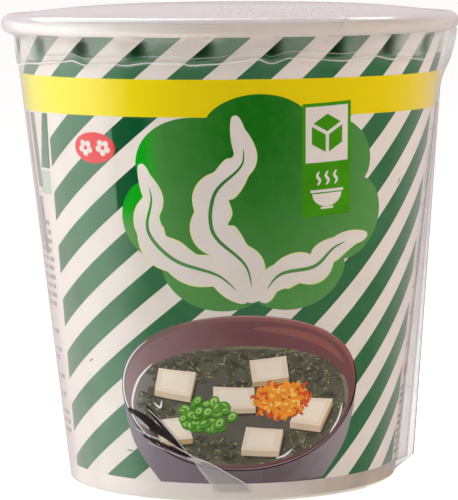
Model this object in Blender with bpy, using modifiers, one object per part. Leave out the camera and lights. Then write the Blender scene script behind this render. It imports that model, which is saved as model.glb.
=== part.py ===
"""A sealed paper soup cup in its shrink film.

A tapered paper cup with a rolled rim stands on a folded foot ring. A peel lid is sealed
over the rim. A clear film is shrunk over both: it is tucked in under the rim with a wavy
ridge below, stands off the wall as a straight fin at its seam on the right, and turns
under the foot, where the cup rests on it.

Metres, +Z up. The origin is the centre of the base, on the surface that the cup stands
on. The front faces -Y, and the film's seam fin is at +X.
"""

import math

import bmesh
import bpy

MM = 0.001

# Driving dimensions of the cup
RIM_RADIUS = 47.4 * MM
HEIGHT_TO_RIM = 97.15 * MM
WALL_RADIUS_AT_BASE = 34.31 * MM
WALL_RADIUS_AT_RIM = 45.30 * MM
ROLL_RADIUS = 1.45 * MM
FOOT_WIDTH = 1.6 * MM
FOOT_ROUNDING = 0.4 * MM
BASE_RECESS_DEPTH = 6.5 * MM

# The lid
LID_THICKNESS = 0.3 * MM
LID_DOME = 2.0 * MM
LID_FULLNESS = 3.0
LID_FLAT_RADIUS = 44.5 * MM
LID_RINGS = [0.0, 0.34, 0.56, 0.72, 0.87, 1.0]
LID_WRAP_ANGLE = math.radians(45)

# The film
FILM_THICKNESS = 0.2 * MM
RIDGE_HEIGHT = 88.6 * MM
RIDGE_STAND_OFF = 0.5 * MM
RIDGE_WAVES = 18
FIN_ANGLE = 0.0
FIN_TOP_HEIGHT = 81.0 * MM
FIN_TOP_RADIUS = 44.1 * MM
FIN_CORNER_HEIGHT = 3.45 * MM
FIN_CORNER_RADIUS = 38.0 * MM
FIN_FOOT_ANGLE = math.radians(28)
TENT_ANGLE = math.radians(32)
TENT_FULLNESS = 1.3
FILM_HOLE_RADIUS = 27.0 * MM

# Fitting and smoothness
GAP = 0.3 * MM
COLUMNS = 90
MERGE_DISTANCE = 0.01 * MM
SHARP_ANGLE = math.radians(35)

# Worked out from the dimensions above
TAPER = (WALL_RADIUS_AT_RIM - WALL_RADIUS_AT_BASE) / HEIGHT_TO_RIM
FOOT_HEIGHT = FILM_THICKNESS + GAP
RECESS_HEIGHT = FOOT_HEIGHT + BASE_RECESS_DEPTH
ROLL_TOP = HEIGHT_TO_RIM - LID_THICKNESS - GAP
ROLL_CENTRE = (RIM_RADIUS - ROLL_RADIUS, ROLL_TOP - ROLL_RADIUS)
LID_INNER_ARC = ROLL_RADIUS + GAP
LID_OUTER_ARC = LID_INNER_ARC + LID_THICKNESS
FILM_LID_ARC = LID_OUTER_ARC + GAP
FILM_ROLL_ARC = ROLL_RADIUS + GAP


def clear_objects():
    for obj in list(bpy.data.objects):
        bpy.data.objects.remove(obj, do_unlink=True)


def make_collection(name):
    collection = bpy.data.collections.new(name)
    bpy.context.scene.collection.children.link(collection)
    return collection


def make_material(name, colour, roughness, alpha=1.0):
    material = bpy.data.materials.new(name)
    material.use_nodes = True
    shader = material.node_tree.nodes["Principled BSDF"]
    shader.inputs["Base Color"].default_value = (*colour, 1.0)
    shader.inputs["Roughness"].default_value = roughness
    shader.inputs["Metallic"].default_value = 0.0
    shader.inputs["Alpha"].default_value = alpha
    return material


def wall_radius(height):
    """The outer radius of the paper wall at this height."""
    return WALL_RADIUS_AT_BASE + TAPER * height


def blend(first, second, share):
    return first + (second - first) * share


def smooth_step(share):
    share = min(max(share, 0.0), 1.0)
    return share * share * (3 - 2 * share)


def arc_point(centre, radius, angle):
    """A point of a circle in the turning plane; the angle is from its top, outwards."""
    return (
        centre[0] + radius * math.sin(angle),
        centre[1] + radius * math.cos(angle),
    )


def arc(centre, radius, start, end, count):
    steps = [blend(start, end, i / (count - 1)) for i in range(count)]
    return [arc_point(centre, radius, step) for step in steps]


def dome(edge_height):
    """Points of the slightly domed top, given the height of its flat edge."""
    return [
        (share * LID_FLAT_RADIUS, edge_height + LID_DOME * (1 - share**LID_FULLNESS))
        for share in LID_RINGS
    ]


def add_object(name, mesh, material, collection):
    mesh.materials.append(material)
    obj = bpy.data.objects.new(name, mesh)
    collection.objects.link(obj)
    return obj


def mesh_of(obj):
    """The object's mesh with its modifiers applied."""
    bpy.context.view_layer.update()
    graph = bpy.context.evaluated_depsgraph_get()
    return bpy.data.meshes.new_from_object(obj.evaluated_get(graph))


def shade_round(mesh):
    mesh.shade_smooth()
    mesh.set_sharp_from_angle(angle=SHARP_ANGLE)


def turned(name, profile, material, collection):
    """A solid turned about Z from a profile that runs down its outer side."""
    guide = bpy.data.meshes.new(name + "_profile")
    points = [(radius, 0.0, height) for radius, height in profile]
    edges = [(i, i + 1) for i in range(len(points) - 1)]
    guide.from_pydata(points, edges, [])
    obj = add_object(name, guide, material, collection)
    screw = obj.modifiers.new("Turn", "SCREW")
    screw.steps = COLUMNS
    screw.render_steps = COLUMNS
    screw.use_merge_vertices = True
    screw.merge_threshold = MERGE_DISTANCE
    solid = mesh_of(obj)
    obj.modifiers.clear()
    obj.data = solid
    bpy.data.meshes.remove(guide)
    shade_round(solid)
    return obj


def roll_foot_angle():
    """Where the rolled rim meets the wall, as an angle from the roll's top."""
    below = ROLL_CENTRE[1] - 0.7 * ROLL_RADIUS
    inward = ROLL_CENTRE[0] - wall_radius(below)
    return math.pi + math.asin(inward / ROLL_RADIUS)


def make_cup_body(material, collection):
    """The paper cup, with what it holds: one solid up to the underside of the lid."""
    top = dome(ROLL_TOP)
    roll = arc(ROLL_CENTRE, ROLL_RADIUS, 0.0, roll_foot_angle(), 11)
    wall_heights = [0.75, 0.5, 0.25]
    wall = [(wall_radius(s * HEIGHT_TO_RIM), s * HEIGHT_TO_RIM) for s in wall_heights]
    outer = wall_radius(FOOT_HEIGHT)
    inner = outer - FOOT_WIDTH
    corner = (outer - FOOT_ROUNDING, FOOT_HEIGHT + FOOT_ROUNDING)
    foot = arc(corner, FOOT_ROUNDING, math.pi / 2, math.pi, 4)
    recess = [
        (inner, FOOT_HEIGHT),
        (inner + TAPER * BASE_RECESS_DEPTH, RECESS_HEIGHT),
        (0.5 * inner, RECESS_HEIGHT),
        (0.0, RECESS_HEIGHT),
    ]
    profile = top + roll + wall + foot + recess
    return turned("cup_body", profile, material, collection)


def make_lid(material, collection):
    """The peel lid: a shallow dome whose edge is turned down over the rolled rim."""
    upper = dome(HEIGHT_TO_RIM)
    upper += arc(ROLL_CENTRE, LID_OUTER_ARC, 0.0, LID_WRAP_ANGLE, 4)
    lower = dome(HEIGHT_TO_RIM - LID_THICKNESS)
    lower += arc(ROLL_CENTRE, LID_INNER_ARC, 0.0, LID_WRAP_ANGLE, 4)
    return turned("lid", upper + lower[::-1], material, collection)


def angle_from_fin(angle):
    """How far round from the fin this column is, from 0 to pi."""
    turn = abs(angle - FIN_ANGLE) % (2 * math.pi)
    return min(turn, 2 * math.pi - turn)


def taut_radius(height, away):
    """The film's radius on the wall, or on its straight run from the fin to the wall."""
    on_wall = wall_radius(height) + GAP
    share = (height - FIN_CORNER_HEIGHT) / (FIN_TOP_HEIGHT - FIN_CORNER_HEIGHT)
    tip = max(blend(FIN_CORNER_RADIUS, FIN_TOP_RADIUS, share), on_wall)
    reach = math.acos(on_wall / tip)
    return on_wall / math.cos(max(0.0, reach - away))


def tent_radius(height):
    """The film's radius where it hangs from the roll, bulging, down to the fin's top."""
    start = RIM_RADIUS + GAP
    share = (ROLL_CENTRE[1] - height) / (ROLL_CENTRE[1] - FIN_TOP_HEIGHT)
    return blend(start, FIN_TOP_RADIUS, smooth_step(share) ** TENT_FULLNESS)


def film_under_rim(angle):
    """The film below the rim: drawn in to the wall, with a wavy ridge, or tented."""
    tent = smooth_step(1 - angle_from_fin(angle) / TENT_ANGLE)
    wave = 0.5 + 0.5 * math.cos(RIDGE_WAVES * angle)
    under_roll = arc_point(ROLL_CENTRE, FILM_ROLL_ARC, math.radians(150))
    ridge_off = GAP + RIDGE_STAND_OFF * blend(0.4, 1.0, wave)
    low_off = GAP + RIDGE_STAND_OFF * blend(0.1, 0.6, wave)
    corner_height = under_roll[1] - 1.1 * MM
    between = 0.5 * (corner_height + RIDGE_HEIGHT)
    below = RIDGE_HEIGHT - 1.4 * MM
    drawn_in = [
        under_roll,
        (wall_radius(corner_height) + GAP, corner_height),
        (wall_radius(between) + low_off, between),
        (wall_radius(RIDGE_HEIGHT) + ridge_off, RIDGE_HEIGHT),
        (wall_radius(below) + GAP, below),
    ]
    return [
        (blend(radius, tent_radius(height), tent), height) for radius, height in drawn_in
    ]


def fin_crease(away):
    """Where the film turns under: on the foot, or on the straight edge up to the fin."""
    foot_radius = wall_radius(FOOT_HEIGHT) + GAP
    if away >= FIN_FOOT_ANGLE:
        return foot_radius, FILM_THICKNESS
    foot_x = foot_radius * math.cos(FIN_FOOT_ANGLE)
    foot_y = foot_radius * math.sin(FIN_FOOT_ANGLE)
    slope_x = foot_x - FIN_CORNER_RADIUS
    # The ray at this angle meets the straight edge at this share of its length.
    share = FIN_CORNER_RADIUS * math.tan(away) / (foot_y - slope_x * math.tan(away))
    across = FIN_CORNER_RADIUS + slope_x * share
    along = foot_y * share
    return math.hypot(across, along), blend(FIN_CORNER_HEIGHT, FILM_THICKNESS, share)


def film_profile(angle):
    """The film's inner face in one half-plane, from the lid's centre to its end."""
    away = angle_from_fin(angle)
    over_lid = dome(HEIGHT_TO_RIM + GAP)
    over_lid += arc(ROLL_CENTRE, FILM_LID_ARC, 0.0, LID_WRAP_ANGLE, 3)
    beside_roll = [
        arc_point(ROLL_CENTRE, FILM_ROLL_ARC + 0.1 * MM, math.radians(68)),
        arc_point(ROLL_CENTRE, FILM_ROLL_ARC, math.radians(95)),
    ]
    wall_heights = [FIN_TOP_HEIGHT, 66 * MM, 50 * MM, 34 * MM, 20 * MM, 9 * MM]
    wall = [(taut_radius(height, away), height) for height in wall_heights]
    under_foot = [
        (wall_radius(FOOT_HEIGHT) - FOOT_ROUNDING, FILM_THICKNESS),
        (0.5 * (wall_radius(0.0) + FILM_HOLE_RADIUS), FILM_THICKNESS),
        (FILM_HOLE_RADIUS, FILM_THICKNESS),
    ]
    under_rim = film_under_rim(angle)
    crease = [fin_crease(away)]
    return over_lid + beside_roll + under_rim + wall + crease + under_foot


def make_film(material, collection):
    """The shrink film: a sheet rolled into a closed sleeve, then given its thickness."""
    rows = len(film_profile(0.0))
    sheet = bmesh.new()
    bmesh.ops.create_grid(sheet, x_segments=COLUMNS, y_segments=rows - 1, size=1.0)
    profiles = [film_profile(2 * math.pi * i / COLUMNS) for i in range(COLUMNS)]
    for vertex in sheet.verts:
        column = round((vertex.co.x + 1) / 2 * COLUMNS) % COLUMNS
        row = round((1 - vertex.co.y) / 2 * (rows - 1))
        radius, height = profiles[column][row]
        angle = 2 * math.pi * column / COLUMNS
        vertex.co = (radius * math.cos(angle), radius * math.sin(angle), height)
    bmesh.ops.remove_doubles(sheet, verts=sheet.verts, dist=MERGE_DISTANCE)
    bmesh.ops.recalc_face_normals(sheet, faces=sheet.faces)
    mesh = bpy.data.meshes.new("film_wrap")
    sheet.to_mesh(mesh)
    sheet.free()
    shade_round(mesh)
    film = add_object("film_wrap", mesh, material, collection)
    thickness = film.modifiers.new("Thickness", "SOLIDIFY")
    thickness.thickness = FILM_THICKNESS
    thickness.offset = 1.0
    return film


def main():
    clear_objects()
    cup = make_collection("sealed_soup_cup")
    paper = make_material("printed_paper", (0.80, 0.78, 0.72), 0.5)
    laminate = make_material("lid_laminate", (0.82, 0.78, 0.77), 0.4)
    film = make_material("shrink_film", (0.95, 0.95, 0.95), 0.1, 0.25)
    make_cup_body(paper, cup)
    make_lid(laminate, cup)
    make_film(film, cup)


main()
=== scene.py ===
# %% [markdown]
# # A sealed paper soup cup in its shrink film
#
# The real thing is four simple trades in one: a fan-shaped sheet of printed paper is
# rolled into a cone, its top edge is curled into a bead, a laminate lid is pressed on the
# bead, and a tube of clear film is shrunk round it all. This lesson builds the looks in
# that order. The measured solids are loaded first and stay fixed. They hold the sizes, and
# every piece made here takes its place from them.

import math
import random

import bmesh
import bpy
from mathutils import Matrix, Vector
from mathutils.geometry import delaunay_2d_cdt


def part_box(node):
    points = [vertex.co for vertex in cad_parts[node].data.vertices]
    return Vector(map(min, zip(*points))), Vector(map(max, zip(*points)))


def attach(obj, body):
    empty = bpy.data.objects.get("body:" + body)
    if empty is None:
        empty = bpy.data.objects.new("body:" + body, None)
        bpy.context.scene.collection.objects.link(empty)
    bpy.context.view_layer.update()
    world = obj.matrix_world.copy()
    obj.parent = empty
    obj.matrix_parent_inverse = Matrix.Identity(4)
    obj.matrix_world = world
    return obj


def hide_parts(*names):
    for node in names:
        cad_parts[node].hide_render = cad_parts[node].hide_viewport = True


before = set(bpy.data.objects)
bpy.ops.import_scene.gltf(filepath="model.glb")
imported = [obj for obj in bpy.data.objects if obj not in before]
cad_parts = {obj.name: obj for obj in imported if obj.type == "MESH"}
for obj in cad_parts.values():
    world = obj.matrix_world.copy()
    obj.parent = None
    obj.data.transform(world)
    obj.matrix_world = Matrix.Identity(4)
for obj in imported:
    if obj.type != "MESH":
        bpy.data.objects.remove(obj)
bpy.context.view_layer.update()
print("solids:", sorted(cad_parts))

# %% [markdown]
# ## Sizes
#
# All lengths below are in millimetres, because a cup is measured that way, and they turn
# into Blender's metres only where a mesh is made. The rim and the lid's top are read from
# the solids. The wall is a cone, so one radius at the foot and one slope describe it.

# %% Measures of the cup
MM = 0.001
RIM_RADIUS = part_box("cup_body")[1].x / MM
LID_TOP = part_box("lid")[1].z / MM
WALL_FOOT_RADIUS = 34.31
WALL_RIM_RADIUS = 45.30
RIM_HEIGHT = 97.15
TAPER = (WALL_RIM_RADIUS - WALL_FOOT_RADIUS) / RIM_HEIGHT
PAPER = 0.32
BEAD_RADIUS = 1.6
BEAD_INSET = 0.05
BEAD_HEIGHT = 95.25
BEAD_CENTRE = (RIM_RADIUS - BEAD_INSET - BEAD_RADIUS, BEAD_HEIGHT)
WALL_BOTTOM = 0.6
WALL_TOP = 94.2


def wall_radius(height):
    """The outer radius of the paper cone at a height."""
    return WALL_FOOT_RADIUS + TAPER * height


def add_object(name, data):
    """Puts an object with this mesh, light or camera into the scene."""
    thing = bpy.data.objects.new(name, data)
    bpy.context.scene.collection.objects.link(thing)
    return thing


print(f"rim {2 * RIM_RADIUS:.1f} mm across, lid top at {LID_TOP:.1f} mm")

# %% [markdown]
# ## The camera
#
# A product photo like this is taken from a little above the lid with a long lens, so the
# cup keeps its straight sides. Blender could aim a camera with a Track To constraint. Here
# it is placed by a matrix, which also holds the slight roll of the photo.

# %% Camera
CAMERA_PLACE = (-0.52 * MM, -606.17 * MM, 112.57 * MM)
LOOKS_DOWN = math.radians(6.16)
ROLL = math.radians(-0.42)
FOCAL_LENGTH = 208.06
SENSOR_WIDTH = 36.0

camera_data = bpy.data.cameras.new("camera")
camera_data.lens = FOCAL_LENGTH
camera_data.sensor_width = SENSOR_WIDTH
camera = add_object("camera", camera_data)
camera.matrix_world = (
    Matrix.Translation(CAMERA_PLACE)
    @ Matrix.Rotation(math.pi / 2 - LOOKS_DOWN, 4, "X")
    @ Matrix.Rotation(ROLL, 4, "Z")
)
bpy.context.scene.camera = camera
bpy.context.scene.view_settings.view_transform = "Standard"
print(f"camera {-CAMERA_PLACE[1] / MM:.0f} mm in front, {FOCAL_LENGTH:.0f} mm lens")

# %% [markdown]
# ## Node trees in few words
#
# A finish in Blender is a tree of nodes, and each node has to be made, set and linked.
# Node groups could hide that, but they would also hide the numbers that a reader wants to
# see. So a few short functions make the nodes. Each takes the tree first, and wherever a
# node needs a value it takes a number, a colour or another node's socket.


# %% Node helpers
def plug(tree, socket, value):
    """Feeds a socket from another socket, or with a plain value."""
    if isinstance(value, bpy.types.NodeSocket):
        tree.links.new(value, socket)
    else:
        socket.default_value = value


def add_node(tree, kind, inputs, **settings):
    """Adds a node with its settings, and with its inputs by name or number."""
    node = tree.nodes.new("ShaderNode" + kind)
    for name, value in settings.items():
        setattr(node, name, value)
    for key, value in inputs.items():
        plug(tree, node.inputs[key], value)
    return node


def maths(tree, operation, first, second=0.0):
    return add_node(tree, "Math", {0: first, 1: second}, operation=operation).outputs["Value"]


def product(tree, first, *others):
    for value in others:
        first = maths(tree, "MULTIPLY", first, value)
    return first


def step(tree, value, start, end, low=0.0, high=1.0):
    """A smooth step from low to high, while the value goes from start to end."""
    inputs = {"Value": value, "From Min": start, "From Max": end, "To Min": low, "To Max": high}
    return add_node(tree, "MapRange", inputs, interpolation_type="SMOOTHSTEP").outputs["Result"]


def ramp(tree, factor, stops, interpolation="LINEAR"):
    """A colour ramp through its stops, each a place and a colour."""
    node = add_node(tree, "ValToRGB", {"Fac": factor})
    node.color_ramp.interpolation = interpolation
    elements = node.color_ramp.elements
    elements[0].position = stops[0][0]
    elements[1].position = stops[-1][0]
    for place, _ in stops[1:-1]:
        elements.new(place)
    for element, (_, colour) in zip(elements, stops):
        element.color = colour
    return node.outputs["Color"]


def blend(tree, factor, first, second):
    inputs = {"Factor": factor, "A": first, "B": second}
    return add_node(tree, "Mix", inputs, data_type="RGBA").outputs["Result"]


print("node helpers: plug, add_node, maths, product, step, ramp and blend")


# %% Colours and finishes
def linear(red, green, blue):
    """A colour picked in 0 to 255 display values, as the linear colour of a shader."""
    values = []
    for channel in (red, green, blue):
        share = channel / 255
        low = share / 12.92
        high = ((share + 0.055) / 1.055) ** 2.4
        values.append(low if share <= 0.04045 else high)
    return (*values, 1.0)


def two_tone(tree, factor, dark, light, start=0.3, end=0.7):
    return ramp(tree, factor, [(start, linear(*dark)), (end, linear(*light))])


def new_finish(name):
    """A material and its node tree."""
    material = bpy.data.materials.new(name)
    material.use_nodes = True
    return material, material.node_tree


def set_shader(tree, inputs):
    """Sets or feeds inputs of the tree's Principled shader."""
    for key, value in inputs.items():
        plug(tree, tree.nodes["Principled BSDF"].inputs[key], value)


print("a middle grey is", round(linear(128, 128, 128)[0], 3), "in linear light")

# %% [markdown]
# ## The studio
#
# A white table that glows a little gives a pale floor without hard shadows, as a light
# table does. Mirror rays skip it, so the film doesn't turn milky by mirroring it. What
# the film mirrors is the world, which is drawn as a studio is: dark behind the camera,
# pale behind the cup, grey overhead, and one bright window at the left. A photographed
# surrounding could do the same, but here each part of it is one number to turn.

# %% The light table
FLOOR_GLOW = 0.76
FLOOR_REACH = 9.5


def make_floor():
    mesh = bpy.data.meshes.new("floor")
    shape = bmesh.new()
    bmesh.ops.create_grid(shape, x_segments=8, y_segments=8, size=FLOOR_REACH)
    shape.to_mesh(mesh)
    shape.free()
    floor = add_object("floor", mesh)
    floor.visible_glossy = False
    material, tree = new_finish("pale_floor")
    cloud = add_node(tree, "TexNoise", {"Scale": 6.0}).outputs["Fac"]
    set_shader(tree, {
        "Base Color": two_tone(tree, cloud, (186, 185, 184), (190, 190, 189), 0.0, 1.0),
        "Roughness": 0.9,
        "Specular IOR Level": 0.0,
        "Emission Color": linear(255, 254, 253),
        "Emission Strength": FLOOR_GLOW,
    })
    mesh.materials.append(material)
    return floor


print("floor:", make_floor().dimensions.x, "m wide")

# %% The world
FRONT_TO_BACK = (0.03, 0.56)
OVER_THE_HORIZON = 0.2
OVERHEAD = 0.3
WINDOW = 2.9
WINDOW_FADE = [(0.2, 0.0), (0.44, 1.0), (0.55, 1.0), (0.69, 0.55), (0.81, 0.25), (0.93, 0.05)]


def window_light(tree, x, y, z):
    """A tall bright window on the left. It is brightest beside the cup and fades behind it."""
    depth = maths(tree, "ADD", maths(tree, "MULTIPLY", y, 0.5), 0.5)
    fade = ramp(tree, depth, [(at, (grey, grey, grey, 1.0)) for at, grey in WINDOW_FADE], "EASE")
    side = step(tree, x, 0.0, -0.15, 0.0, WINDOW)
    low = step(tree, z, 0.3, -0.05)
    return maths(tree, "MULTIPLY", fade, maths(tree, "MULTIPLY", side, low))


def make_world():
    world = bpy.data.worlds.new("studio")
    bpy.context.scene.world = world
    world.use_nodes = True
    tree = world.node_tree
    place = add_node(tree, "TexCoord", {}).outputs["Generated"]
    x, y, z = add_node(tree, "SeparateXYZ", {"Vector": place}).outputs
    behind = step(tree, y, -0.1, 0.7, *FRONT_TO_BACK)
    above = step(tree, z, 0.3, 0.9, 0.0, OVERHEAD)
    back_wall = step(tree, y, -0.1, 0.7, 0.0, OVER_THE_HORIZON)
    wall = maths(tree, "MULTIPLY", back_wall, step(tree, z, 0.0, 0.1))
    room = maths(tree, "ADD", maths(tree, "ADD", behind, above), wall)
    inputs = tree.nodes["Background"].inputs
    plug(tree, inputs["Strength"], maths(tree, "ADD", room, window_light(tree, x, y, z)))
    towards_back = step(tree, y, 0.0, 0.6)
    plug(tree, inputs["Color"], blend(tree, towards_back, linear(250, 252, 252), linear(255, 242, 245)))
    return world


print("world:", len(make_world().node_tree.nodes), "nodes")

# %% Lights
CUP_MIDDLE = (0.0, 0.0, 0.05)
SHAPES_THE_CUP = [
    # name, azimuth, elevation and distance, width and height, power, colour
    ("left_box", (-66, 35, 0.9), (0.8, 0.3), 5.4, (242, 255, 255)),
    ("right_box", (72, 33, 0.9), (0.26, 0.3), 3.6, (255, 248, 234)),
]
ONLY_MIRRORED = [
    ("rim_box", (222, 52, 1.0), (1.0, 0.75), 6.0, (255, 250, 250)),
    ("rim_strip", (131, 52, 1.0), (0.42, 0.22), 1.6, (255, 252, 248)),
]


def place_at(azimuth, elevation, distance):
    """A place round the middle of the cup, in metres. Azimuth 0 is in front."""
    turn = math.radians(azimuth)
    rise = math.radians(elevation)
    return (
        CUP_MIDDLE[0] + distance * math.cos(rise) * math.sin(turn),
        CUP_MIDDLE[1] - distance * math.cos(rise) * math.cos(turn),
        CUP_MIDDLE[2] + distance * math.sin(rise),
    )


def add_soft_box(name, place, size, power, colour, mirrored):
    """A rectangle of light, aimed at the cup. It either lights things or shows in the film."""
    data = bpy.data.lights.new(name, "AREA")
    data.shape = "RECTANGLE"
    data.size, data.size_y = size
    data.energy = power
    data.color = linear(*colour)[:3]
    light = add_object(name, data)
    light.location = place_at(*place)
    aim = Vector(CUP_MIDDLE) - Vector(place_at(*place))
    light.rotation_mode = "QUATERNION"
    light.rotation_quaternion = aim.to_track_quat("-Z", "Y")
    light.visible_diffuse = not mirrored
    light.visible_glossy = mirrored


for box in SHAPES_THE_CUP:
    add_soft_box(*box, mirrored=False)
for box in ONLY_MIRRORED:
    add_soft_box(*box, mirrored=True)
print(len(SHAPES_THE_CUP), "lights on the cup and", len(ONLY_MIRRORED), "that only the film mirrors")

# %% [markdown]
# ## Paper and ink
#
# The cup is white board with a thin gloss, printed with a few flat inks. A single flat
# colour would look like plastic. Real ink on board has a faint cloudiness where the fibres
# take it unevenly, and the board has a very fine tooth under the gloss. Each ink below is
# one material: a slow noise for the cloud, a fine noise for the fibres, and a small bump.

# %% Ink on board
FIBRE_SCALE = 1500.0
FIBRE_DEPTH = 0.0004
INK_GLOSS = 0.06


def place_of(tree):
    """The place on the object, in metres, so that a pattern keeps its size on every piece."""
    return add_node(tree, "TexCoord", {}).outputs["Object"]


def noise_of(tree, scale, detail):
    inputs = {"Vector": place_of(tree), "Scale": scale, "Detail": detail}
    return add_node(tree, "TexNoise", inputs).outputs["Fac"]


def bump_of(tree, height, distance, strength=0.5):
    """The normal of a relief that is at most this many millimetres deep."""
    inputs = {"Height": height, "Strength": strength, "Distance": distance * MM}
    return add_node(tree, "Bump", inputs).outputs["Normal"]


def shifted(colour, shift):
    """The same colour a few display values lighter or darker."""
    return tuple(min(255, max(0, channel + shift)) for channel in colour)


def printed(name, colour, variation=5, scale=160.0, roughness=0.38):
    """One ink on coated board."""
    material, tree = new_finish(name)
    tones = shifted(colour, -variation), shifted(colour, variation)
    set_shader(tree, {
        "Base Color": two_tone(tree, noise_of(tree, scale, 4.0), *tones),
        "Normal": bump_of(tree, noise_of(tree, FIBRE_SCALE, 2.0), FIBRE_DEPTH),
        "Roughness": roughness,
        "Specular IOR Level": INK_GLOSS,
    })
    return material


raw_board = printed("raw_board", (226, 218, 206), 6, roughness=0.7)
print("raw board:", len(raw_board.node_tree.nodes), "nodes")


# %% Inks that change from place to place
def recolour(material, share, first, second, scale, detail, variation):
    """Gives an ink two colours, mixed by a share that a noise makes uneven."""
    tree = material.node_tree
    cloud = maths(tree, "SUBTRACT", noise_of(tree, scale, detail), 0.5)
    uneven = maths(tree, "ADD", share, maths(tree, "MULTIPLY", cloud, variation))
    set_shader(tree, {"Base Color": two_tone(tree, uneven, first, second, 0.0, 1.0)})
    return material


def graded(name, start, end, first, second, variation=0.12):
    """An ink that passes from one colour to another between two places of the cup, in mm."""
    material = printed(name, first)
    tree = material.node_tree
    way = Vector(end) - Vector(start)
    inputs = {0: place_of(tree), 1: way.normalized() / MM}
    along = add_node(tree, "VectorMath", inputs, operation="DOT_PRODUCT").outputs["Value"]
    begin = Vector(start).dot(way.normalized())
    share = step(tree, along, begin, begin + way.length)
    return recolour(material, share, first, second, 300.0, 4.0, 4 * variation)


def spread(name, middle, reach, widen, first, second):
    """An ink that changes with the distance from a place, faster to the sides by `widen`."""
    material = printed(name, first)
    tree = material.node_tree
    inputs = {0: place_of(tree), 1: (widen / MM, 0.0, 1 / MM)}
    scaled = add_node(tree, "VectorMath", inputs, operation="MULTIPLY").outputs["Vector"]
    inputs = {0: scaled, 1: (middle[0] * widen, 0.0, middle[1])}
    away = add_node(tree, "VectorMath", inputs, operation="DISTANCE").outputs["Value"]
    share = step(tree, away, 0.0, reach)
    return recolour(material, share, first, second, 420.0, 5.0, 0.3)


print("two rules for inks that change: graded and spread")

# %% [markdown]
# ## Where the film lies on the ink
#
# Film that lies hard on a print makes it look wet: deeper and without gloss. That happens
# at the places under the bead where the film is drawn in, and in one patch at the left of
# the green field. Both are worked out from the angle and the height, so the inks, the film
# and its mesh agree about them. Painted masks would have to be made again for each.
# The drawn-in places also get painted shade, for the little light that gets in under the bead.

# %% Drawn-in places and the patch
DRAWN_IN_PLACES = 21
DRAWN_IN_SHIFT = -7.2
DRAWN_IN_HEIGHT = 91.2
DRAWN_IN_REACH = (2.6, 0.6)
FRONT_COSINES = (0.42, 0.68)
SHARE_BEHIND = 0.3
TOUCH_SIDES = (-33.6, -33.2, -25.0, -18.0)
TOUCH_HEIGHTS = (54.0, 60.0, 77.0, 79.0)
DEEP_SHADE = (6, 36, 12)


def turn_and_height(tree):
    """The angle from the front, in radians, and the height in mm."""
    x, y, z = add_node(tree, "SeparateXYZ", {"Vector": place_of(tree)}).outputs
    angle = maths(tree, "ARCTAN2", x, maths(tree, "MULTIPLY", y, -1.0))
    return angle, maths(tree, "MULTIPLY", z, 1 / MM)


def where_drawn_in(tree, angle, height):
    """1 in the places under the bead where the film is drawn in to the wall."""
    wave = maths(tree, "MULTIPLY", angle, DRAWN_IN_PLACES)
    shift = math.radians(DRAWN_IN_SHIFT) * DRAWN_IN_PLACES
    wave = maths(tree, "COSINE", maths(tree, "SUBTRACT", wave, shift))
    away = maths(tree, "ABSOLUTE", maths(tree, "SUBTRACT", height, DRAWN_IN_HEIGHT))
    in_front = step(tree, maths(tree, "COSINE", angle), *FRONT_COSINES, SHARE_BEHIND)
    near = step(tree, away, *DRAWN_IN_REACH)
    return product(tree, step(tree, wave, 0.0, 0.9), near, in_front)


def where_film_touches(tree):
    """1 where the film lies hard on the ink."""
    angle, height = turn_and_height(tree)
    turn = maths(tree, "MULTIPLY", angle, math.degrees(1.0))
    drawn = where_drawn_in(tree, angle, height)
    left, left_full, right_full, right = TOUCH_SIDES
    low, low_full, high_full, high = TOUCH_HEIGHTS
    patch = product(
        tree,
        step(tree, turn, left, left_full),
        step(tree, turn, right, right_full),
        step(tree, height, low, low_full),
        step(tree, height, high, high_full),
    )
    return maths(tree, "MAXIMUM", drawn, patch)


def overlay(material, share, colour):
    """Lays a second colour over an ink, by a share."""
    tree = material.node_tree
    ink = tree.nodes["Principled BSDF"].inputs["Base Color"].links[0].from_socket
    set_shader(tree, {"Base Color": blend(tree, share, ink, linear(*colour))})
    return material


def shaded(material, dark, share):
    """Darkens an ink by a share in the drawn-in places, where little light gets in."""
    tree = material.node_tree
    drawn = where_drawn_in(tree, *turn_and_height(tree))
    return overlay(material, maths(tree, "MULTIPLY", drawn, share), dark)


def pressed(material, deep):
    """Makes an ink look deeper where the film lies hard on it, as if it were wet, and adds painted
    shade in the drawn-in places.
    """
    overlay(material, where_film_touches(material.node_tree), deep)
    return shaded(material, DEEP_SHADE, 0.85)


print(DRAWN_IN_PLACES, "drawn-in places round the cup")

# %% The inks
PLAIN_INKS = [
    # name, colour, variation, scale of the cloud
    ("label_green", (66, 146, 8)), ("edge_cream", (226, 222, 160)), ("seal_coral", (224, 52, 54)),
    ("panel_pale", (176, 190, 172)), ("panel_grey", (120, 128, 118), 14, 300.0),
    ("stripe_nick", (24, 78, 46)), ("small_print", (150, 140, 138)),
    ("bowl_edge", (44, 30, 36), 6), ("bowl_light", (176, 140, 140), 6),
    ("broth_light", (126, 118, 98), 12, 300.0), ("shine", (236, 232, 230), 4),
    ("seaweed", (94, 91, 76), 12, 420.0), ("seaweed_deep", (76, 72, 62), 8, 420.0),
    ("seaweed_light", (130, 126, 90), 16, 700.0), ("seaweed_pale", (164, 160, 116), 16, 700.0),
    ("tofu_top", (236, 216, 196), 4), ("tofu_side", (214, 190, 164), 6),
    ("tofu_edge", (196, 164, 124), 8), ("tofu_light", (242, 226, 210), 4),
    ("onion_green", (92, 150, 52), 14, 500.0), ("onion_pale", (168, 208, 112), 10, 500.0),
    ("onion_deep", (52, 112, 36), 10, 500.0), ("carrot", (244, 150, 48), 14, 600.0),
    ("carrot_dark", (212, 90, 42), 14, 600.0), ("carrot_pale", (250, 200, 96), 10, 600.0),
]
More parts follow.
